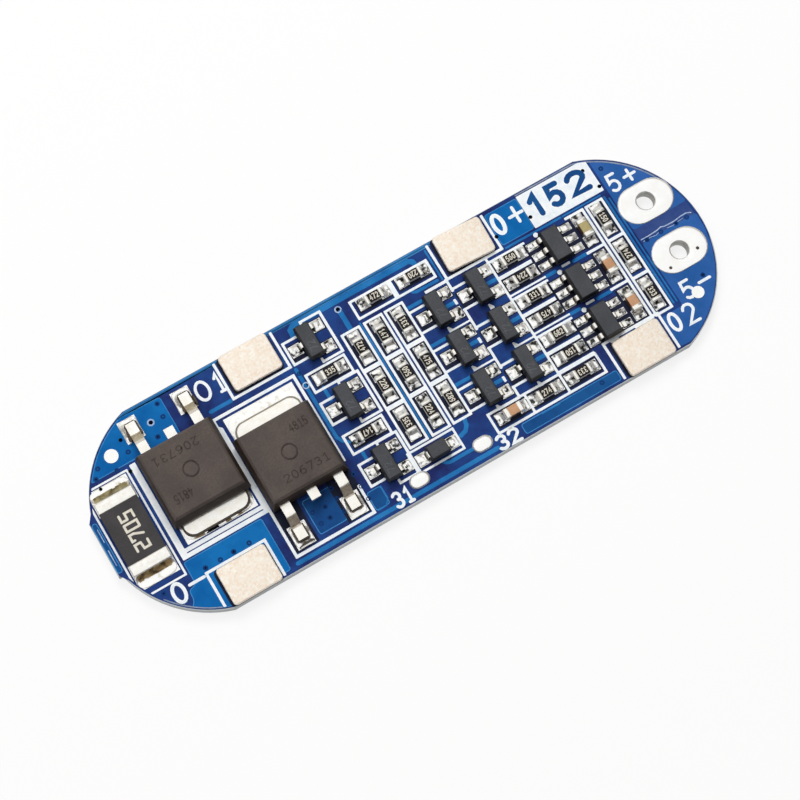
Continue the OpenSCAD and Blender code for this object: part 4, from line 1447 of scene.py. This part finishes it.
resistor_core, resistor_caps = chip_patterns("resistor_pattern", 0.45, 0.035, RESISTOR_CAP)
capacitor_core, capacitor_caps = chip_patterns("capacitor_pattern", 0.8, 0.06, CAPACITOR_CAP)
# a dark slab a hair wider than each block between its caps, but lower: painted shade on the sides
sides = bmesh.new()
slab(sides, CHIP_L - 2 * CAPACITOR_CAP, CHIP_W - 0.02, 0.03, 0.7, 0.03)
capacitor_sides = part_object("capacitor_pattern_sides", sides)
cover = bmesh.new()
slab(cover, CHIP_L - 2 * RESISTOR_CAP - 0.02, CHIP_W - 0.05, 0.38, 0.45, 0.02)
resistor_cover = part_object("resistor_pattern_cover", cover)
print("patterns:", len(patterns))

# %% Chip parts on the board
chips = {
    "resistor_slabs": (resistor_core, resistors, alumina, "resistor_body"),
    "resistor_covers": (resistor_cover, resistors, glaze, "resistor_body"),
    "resistor_caps": (resistor_caps, resistors, cap_tin, "tin"),
    "capacitor_blocks": (capacitor_core, capacitors[1:], tan_ceramic, "capacitor_body"),
    "capacitor_block_olive": (capacitor_core, capacitors[:1], olive_ceramic, "capacitor_body"),
    "capacitor_sides": (capacitor_sides, capacitors, shaded_ceramic, "capacitor_body"),
    "capacitor_caps": (capacitor_caps, capacitors, cap_tin, "tin"),
}
for name, (pattern, spots, material, slot) in chips.items():
    grown(name, copy_tree, spots, LAND_TOP, slot, Part=pattern, Slip=0.0,
                              Twist=0.0, Seed=7, Material=material)
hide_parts(*members("resistor_"))
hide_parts(*members("capacitor_"))

# %% [markdown]
# ## Resistor codes
# Three cream figures are printed on the glaze: two digits and a power of ten. The codes here
# are made up and run through a short list, and every other one stands on its head.

# %% Figures on the resistors
CODES = ["472", "220", "335", "147", "560", "224", "331", "475", "682", "150", "274", "333"]
FIGURE = [(0, LAND_TOP + 0.44), (0, LAND_TOP + 0.452), (0.004, LAND_TOP + 0.455)]
CODE_W, CODE_H, CODE_PEN, CODE_GAP = 0.19, 0.42, 0.075, 0.4
ACROSS = 3 * CODE_W + 2 * CODE_GAP * CODE_W
bm = bmesh.new()
for number, (x, y, turn) in enumerate(resistors):
    # every other one lies the other way round, as they come off the reel
    lie = turn + 180 * (number % 2)
    start = offset(*offset(x, y, lie, -ACROSS / 2), lie + 90, -CODE_H / 2)
    write(bm, CODES[number % len(CODES)], *start, CODE_W, CODE_H, CODE_PEN, FIGURE,
          gap=CODE_GAP, turn=lie)
figures = finished("resistor_figures", bm, [figure_ink], smooth_angle=0)
print("resistor figures:", len(figures.data.polygons), "faces")

# %% [markdown]
# ## Current shunt
# The shunt is the largest chip resistor: a strip of resistance metal under a satin black coat,
# with wide solder caps. Its value stands in four square figures that read up the board.

# %% Shunt
shunt_coat = epoxy_material("shunt_coat", "#2A282A", "#3A3738", 0.5)
SHUNT_L, SHUNT_W, SHUNT_H = 6.35, 3.25, 0.6
SHUNT_END = 0.95                   # length of a solder cap
bm = bmesh.new()
plate(bm, block(shunt_x, shunt_y, SHUNT_W - 0.06, SHUNT_L - 2 * SHUNT_END + 0.1, 0.05),
      [(0.02, LAND_TOP + 0.03), (0, LAND_TOP + 0.06), (0, LAND_TOP + SHUNT_H - 0.06),
       (0.02, LAND_TOP + SHUNT_H - 0.015), (0.07, LAND_TOP + SHUNT_H)])
for side in (-1, 1):
    y = shunt_y + side * (SHUNT_L - SHUNT_END) / 2
    plate(bm, block(shunt_x, y, SHUNT_W, SHUNT_END, 0.12),
          [(0.05, LAND_TOP), (0, LAND_TOP + 0.05), (0, LAND_TOP + SHUNT_H - 0.1),
           (0.03, LAND_TOP + SHUNT_H - 0.02), (0.1, LAND_TOP + SHUNT_H + 0.02)], 1)
shunt_piece = finished("shunt_body", bm, [shunt_coat, cap_tin])
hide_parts("shunt")
# square figures made of angled strokes, as a stencil leaves them
SQUARE = {
    "0": [[(0, 0), (0, 1.5), (1, 1.5)], [(1, 1.5), (1, 0), (0, 0)]],
    "2": [[(0, 1.5), (1, 1.5), (1, 0.8)], [(1, 0.8), (0, 0.72), (0, 0), (1, 0)]],
    "5": [[(1, 1.5), (0, 1.5), (0, 0.82)], [(0, 0.82), (1, 0.82), (1, 0), (0, 0)]],
    "7": [[(0, 1.2), (0, 1.5), (1, 1.5), (1, 1.0), (0.45, 0)]],
}
bm = bmesh.new()
write(bm, "2705", shunt_x + 0.66, shunt_y - 1.62, 0.52, 1.06, 0.19,
      [(0, LAND_TOP + SHUNT_H - 0.01), (0, LAND_TOP + SHUNT_H + 0.006),
       (0.01, LAND_TOP + SHUNT_H + 0.01)], gap=0.62, turn=90, figures=SQUARE)
finished("shunt_figures", bm, [figure_ink], smooth_angle=0)
print("shunt made")

# %% [markdown]
# ## Cell tabs
# The four tabs are stamped from 0.3 mm nickel strip, so they have tight rounded corners and a
# slightly rolled edge. Nickel is warmer than tin. Its rolled and annealed skin is matte, with a
# fine crystal speckle, and the pale cream speckle is what tells it from the bright solder.

# %% Nickel
CRYSTAL = 0.00016                  # size of a crystal in metres
nickel, tree, shader, place = new_material("annealed_nickel", rough=0.45)
crystal = add_node(tree, "ShaderNodeTexVoronoi", {"Vector": place, "Scale": 1 / CRYSTAL})
speck = add_node(tree, "ShaderNodeMix", {0: 0.45, MIX_A: cloud(tree, place, 0.0004, 4.0, 0.75),
                                         MIX_B: crystal.outputs["Color"]}, data_type="RGBA")
cream = tone(tree, speck.outputs[MIX_OUT], "#F3DFC8", "#FFFBF2", 0.25, 0.75)
tree.links.new(cream, shader.inputs["Base Color"])
relief(tree, shader, crystal.outputs["Distance"], 0.25, 0.00001)
shader.inputs["Metallic"].default_value = 0.5
for number, node in enumerate(tabs, 1):
    x, y = middle(node)
    low, high = cad(node, 2, 0), cad(node, 2, 1)
    # a tab that was soldered crooked has a longer box
    lean = -2.5 if cad(node, 0, 1) - cad(node, 0, 0) > TAB_L + 0.05 else 0.0
    bm = bmesh.new()
    plate(bm, block(x, y, TAB_L, TAB_W, 0.34, lean, 6),
          [(0.04, low), (0, low + 0.04), (0, high - 0.08), (0.015, high - 0.035),
           (0.05, high - 0.008), (0.1, high)])
    tab = finished(f"nickel_tab_{number}", bm, [nickel])
    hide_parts(node)
print("nickel tabs:", len(tabs))

# %% [markdown]
# ## Wire terminals and taps
# Each wire terminal is a plated hole in an oval land, drowned in tin: a thick, soft-edged
# pool with a rim that rolls into the hole. The outline is an oval with flat sides, and the same
# `plate` idea with a hole in the middle gives it a crowned section. The taps are small domes.


# %% Crowned terminal lands
def oval(x, y, length, width, count=14):
    """An oval with round ends; its flat sides are divided too."""
    r, run, flats = width / 2, length - width, 6
    right = arc(x + run / 2, y, r, r, -90, 90, count)
    left = arc(x - run / 2, y, r, r, 90, 270, count)
    top = [(x + run / 2 - run * k / flats, y + r) for k in range(1, flats)]
    low = [(x - run / 2 + run * k / flats, y - r) for k in range(1, flats)]
    return right + top + left + low


def crowned_ring(bm, x, y, length, width, hole, sections):
    """Rings from the outer oval to the hole; sections are (share of the way in, height).
    The wall of the hole, between the first two sections at share 1, gets the second material."""
    outer = oval(x, y, length, width)
    count = len(outer)
    wall = [share for share, _ in sections].index(1.0)
    rings = []
    for share, z in sections:
        ring = []
        for px, py in outer:
            a = math.atan2(py - y, px - x)
            hx, hy = x + hole * math.cos(a), y + hole * math.sin(a)
            here = (px + (hx - px) * share, py + (hy - py) * share, z)
            ring.append(bm.verts.new([c * MM for c in here]))
        rings.append(ring)
    for number, (low, high) in enumerate(zip(rings, rings[1:] + rings[:1])):
        for i in range(count):
            j = (i + 1) % count
            face = bm.faces.new((low[i], low[j], high[j], high[i]))
            face.smooth = True
            face.material_index = int(number == wall)


# little light reaches the wall of the hole, and its tin is rough
hole_tin = metal_material("tin_in_hole", "#B5B4B0", "#8E8D8A", 0.5, 0.0005, 0.00002)
TERMINAL_L, TERMINAL_W = 4.7, 3.2
top = LAND_TOP
# upper pool, plated wall and lower land in one closed skin
SKIN = [(0.0, BOARD_TOP), (0.0, top - 0.02), (0.02, top + 0.02), (0.06, top + 0.045),
        (0.2, top + 0.06), (0.6, top + 0.06), (0.92, top + 0.05), (0.98, top + 0.03),
        (1.0, top - 0.03), (1.0, 0.03), (0.98, 0.005), (0.9, 0.0), (0.0, 0.0),
        (0.0, 0.05), (0.96, 0.05), (0.96, BOARD_TOP)]
for name in ("positive", "negative"):
    x, y = middle(name + "_terminal")
    bm = bmesh.new()
    crowned_ring(bm, x, y, TERMINAL_L, TERMINAL_W, WIRE_R - 0.02, SKIN)
    piece = finished(name + "_terminal_pool", bm, [levelled_tin, hole_tin], smooth_angle=60)
    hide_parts(name + "_terminal")
bm = bmesh.new()
for node in ("tap_pad_1", "tap_pad_2"):
    x, y = middle(node)
    plate(bm, oval(x, y, 1.7, 1.15, 8),
          [(0, BOARD_TOP), (0, BOARD_TOP + 0.05), (0.04, BOARD_TOP + 0.1), (0.14, BOARD_TOP + 0.15),
           (0.3, BOARD_TOP + 0.18)], smooth=True)
# gas from the flux left a small pit in each pool, drawn as a dark disc of painted shade
pinholes = bmesh.new()
for x, y, radius in ((22.12, -2.72, 0.13), (24.82, -2.4, 0.14)):
    plate(pinholes, ring_of(x, y, radius, 14), [(0, LAND_TOP + 0.02), (0, LAND_TOP + 0.066),
                                                (0.04, LAND_TOP + 0.07)])
finished("pinholes", pinholes, [joint_shade], smooth_angle=0)
taps = finished("tap_domes", bm, [levelled_tin], smooth_angle=0)
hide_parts("tap_pad_1", "tap_pad_2")
print("terminals and taps made")

# %% [markdown]
# ## Light, floor and camera
# The board lies on a white table. A wide soft box above it and a little behind gives the
# short shadows at the near edge. Metal needs something to mirror, and a lamp would leave
# burnt-out patches in it. So reflections see no lamp: the white room gives the bright parts,
# and a brown-grey wall round the table, which only reflections see, gives the darks that make a
# curved joint look round.

# %% Floor, studio wall and world
scene = bpy.context.scene
scene.view_settings.view_transform = "Standard"


def seen_directly(tree):
    """One for rays that the eye sees as such: straight, mirrored or through a clear thing."""
    ray = add_node(tree, "ShaderNodeLightPath").outputs
    seen = ray["Is Camera Ray"]
    for kind in ("Is Glossy Ray", "Is Transmission Ray"):
        seen = add_node(tree, "ShaderNodeMath", {0: seen, 1: ray[kind]},
                        operation="MAXIMUM").outputs[0]
    return seen


def stage_sheet(name, verts, faces, material):
    mesh = bpy.data.meshes.new(name)
    mesh.from_pydata([tuple(c * MM for c in v) for v in verts], [], faces)
    mesh.materials.append(material)
    sheet = bpy.data.objects.new(name, mesh)
    scene.collection.objects.link(sheet)
    return sheet


WHITE = (1, 1, 1, 1)
# a matte white sheet, lifted by a soft glow so that it reads as an even ground
white_floor, tree, shader, place = new_material("white_table", "#FBFAF9", 0.8, 0.1)
glow = add_node(tree, "ShaderNodeEmission", {"Color": WHITE, "Strength": 1.0})
share = add_node(tree, "ShaderNodeMath", {0: seen_directly(tree), 1: 0.8}, operation="MULTIPLY")
mixed = add_node(tree, "ShaderNodeMixShader", {0: share.outputs[0], 1: shader.outputs["BSDF"],
                                               2: glow.outputs["Emission"]})
tree.links.new(mixed.outputs["Shader"], tree.nodes["Material Output"].inputs["Surface"])
FLOOR, FLOOR_Z = 3000, -0.05
corners = rectangle(-FLOOR, -FLOOR, FLOOR, FLOOR)
stage_sheet("floor", [(x, y, FLOOR_Z) for x, y in corners], [(0, 1, 2, 3)], white_floor)

# darker towards the near side of the room
wall_tone, tree, shader, place = new_material("studio_wall")
split = add_node(tree, "ShaderNodeSeparateXYZ", {"Vector": place})
depth = add_node(tree, "ShaderNodeMapRange", {"Value": split.outputs["Y"], "From Min": -0.3,
                                              "From Max": 0.4})
shade = tone(tree, depth.outputs["Result"], "#4C3E2C", "#C8C2B4", 0.45)
glow = add_node(tree, "ShaderNodeEmission", {"Color": shade, "Strength": 0.8})
tree.links.new(glow.outputs["Emission"], tree.nodes["Material Output"].inputs["Surface"])
WALL_R, WALL_FOOT, WALL_H, SIDES = 400, 2.0, 420, 32
rim = ring_of(0, 0, WALL_R, SIDES)
wall = stage_sheet("wall", [(x, y, z) for z in (WALL_FOOT, WALL_H) for x, y in rim],
                   [(k, (k + 1) % SIDES, SIDES + (k + 1) % SIDES, SIDES + k) for k in range(SIDES)],
                   wall_tone)
for flag in ("visible_camera", "visible_diffuse", "visible_shadow", "visible_transmission",
             "visible_volume_scatter"):
    setattr(wall, flag, False)

world = bpy.data.worlds.new("white_room")
scene.world = world
world.use_nodes = True
tree = world.node_tree
room = tree.nodes["Background"]
# the room looks white, and lights the board with less than it shows
level = add_node(tree, "ShaderNodeMapRange", {"Value": seen_directly(tree), "To Min": 0.3,
                                              "To Max": 1.0})
room.inputs["Color"].default_value = WHITE
tree.links.new(level.outputs["Result"], room.inputs["Strength"])
print("stage set")


# %% Lamps
def soft_box(name, at, size, watts):
    """A round lamp that faces the board."""
    data = bpy.data.lights.new(name, "AREA")
    data.shape = "DISK"
    data.size = size * MM
    data.energy = watts
    lamp = bpy.data.objects.new(name, data)
    lamp.visible_glossy = False      # flat tin would mirror the lamp as a burnt-out patch
    lamp.location = [c * MM for c in at]
    lamp.rotation_euler = Vector(at).to_track_quat("Z", "Y").to_euler()
    scene.collection.objects.link(lamp)


soft_box("key", (60, 190, 300), 180, 0.7)
soft_box("fill", (-120, 60, 300), 220, 0.3)
print("lamps lit")

# %% [markdown]
# ## Camera
# A product shot of a flat board looks down steeply, so that all the print can be read, and
# turns it across the frame. The camera stands far off with a long lens, which keeps the two
# ends of the board nearly the same size.

# %% Camera
# looks down at 75 degrees from the near left, with the board running up to the right
AZIMUTH, ELEVATION, ROLL = math.radians(-35.04), math.radians(74.84), math.radians(4.48)
TARGET, DISTANCE = Vector((-1.506, -1.189, 1.0)), 148.36
FOCAL_LENGTH, SENSOR = 87.5, 36
back = Vector((math.sin(AZIMUTH) * math.cos(ELEVATION), -math.cos(AZIMUTH) * math.cos(ELEVATION),
               math.sin(ELEVATION)))
right = Vector((0, 0, 1)).cross(back).normalized()
up = back.cross(right)
right, up = (right * math.cos(ROLL) + up * math.sin(ROLL),
             up * math.cos(ROLL) - right * math.sin(ROLL))
lens = bpy.data.cameras.new("camera")
lens.lens = FOCAL_LENGTH
lens.sensor_width = SENSOR
lens.clip_start = 0.001
camera = bpy.data.objects.new("camera", lens)
pose = Matrix((right, up, back)).transposed().to_4x4()
pose.translation = (TARGET + back * DISTANCE) * MM
camera.matrix_world = pose
scene.collection.objects.link(camera)
scene.camera = camera
print("camera at", [round(c / MM, 1) for c in camera.location])

# %% [markdown]
# ## Finish
# The patterns have done their work and go.

# %% Clear the patterns and finish
for piece in patterns:
    bpy.data.objects.remove(piece)
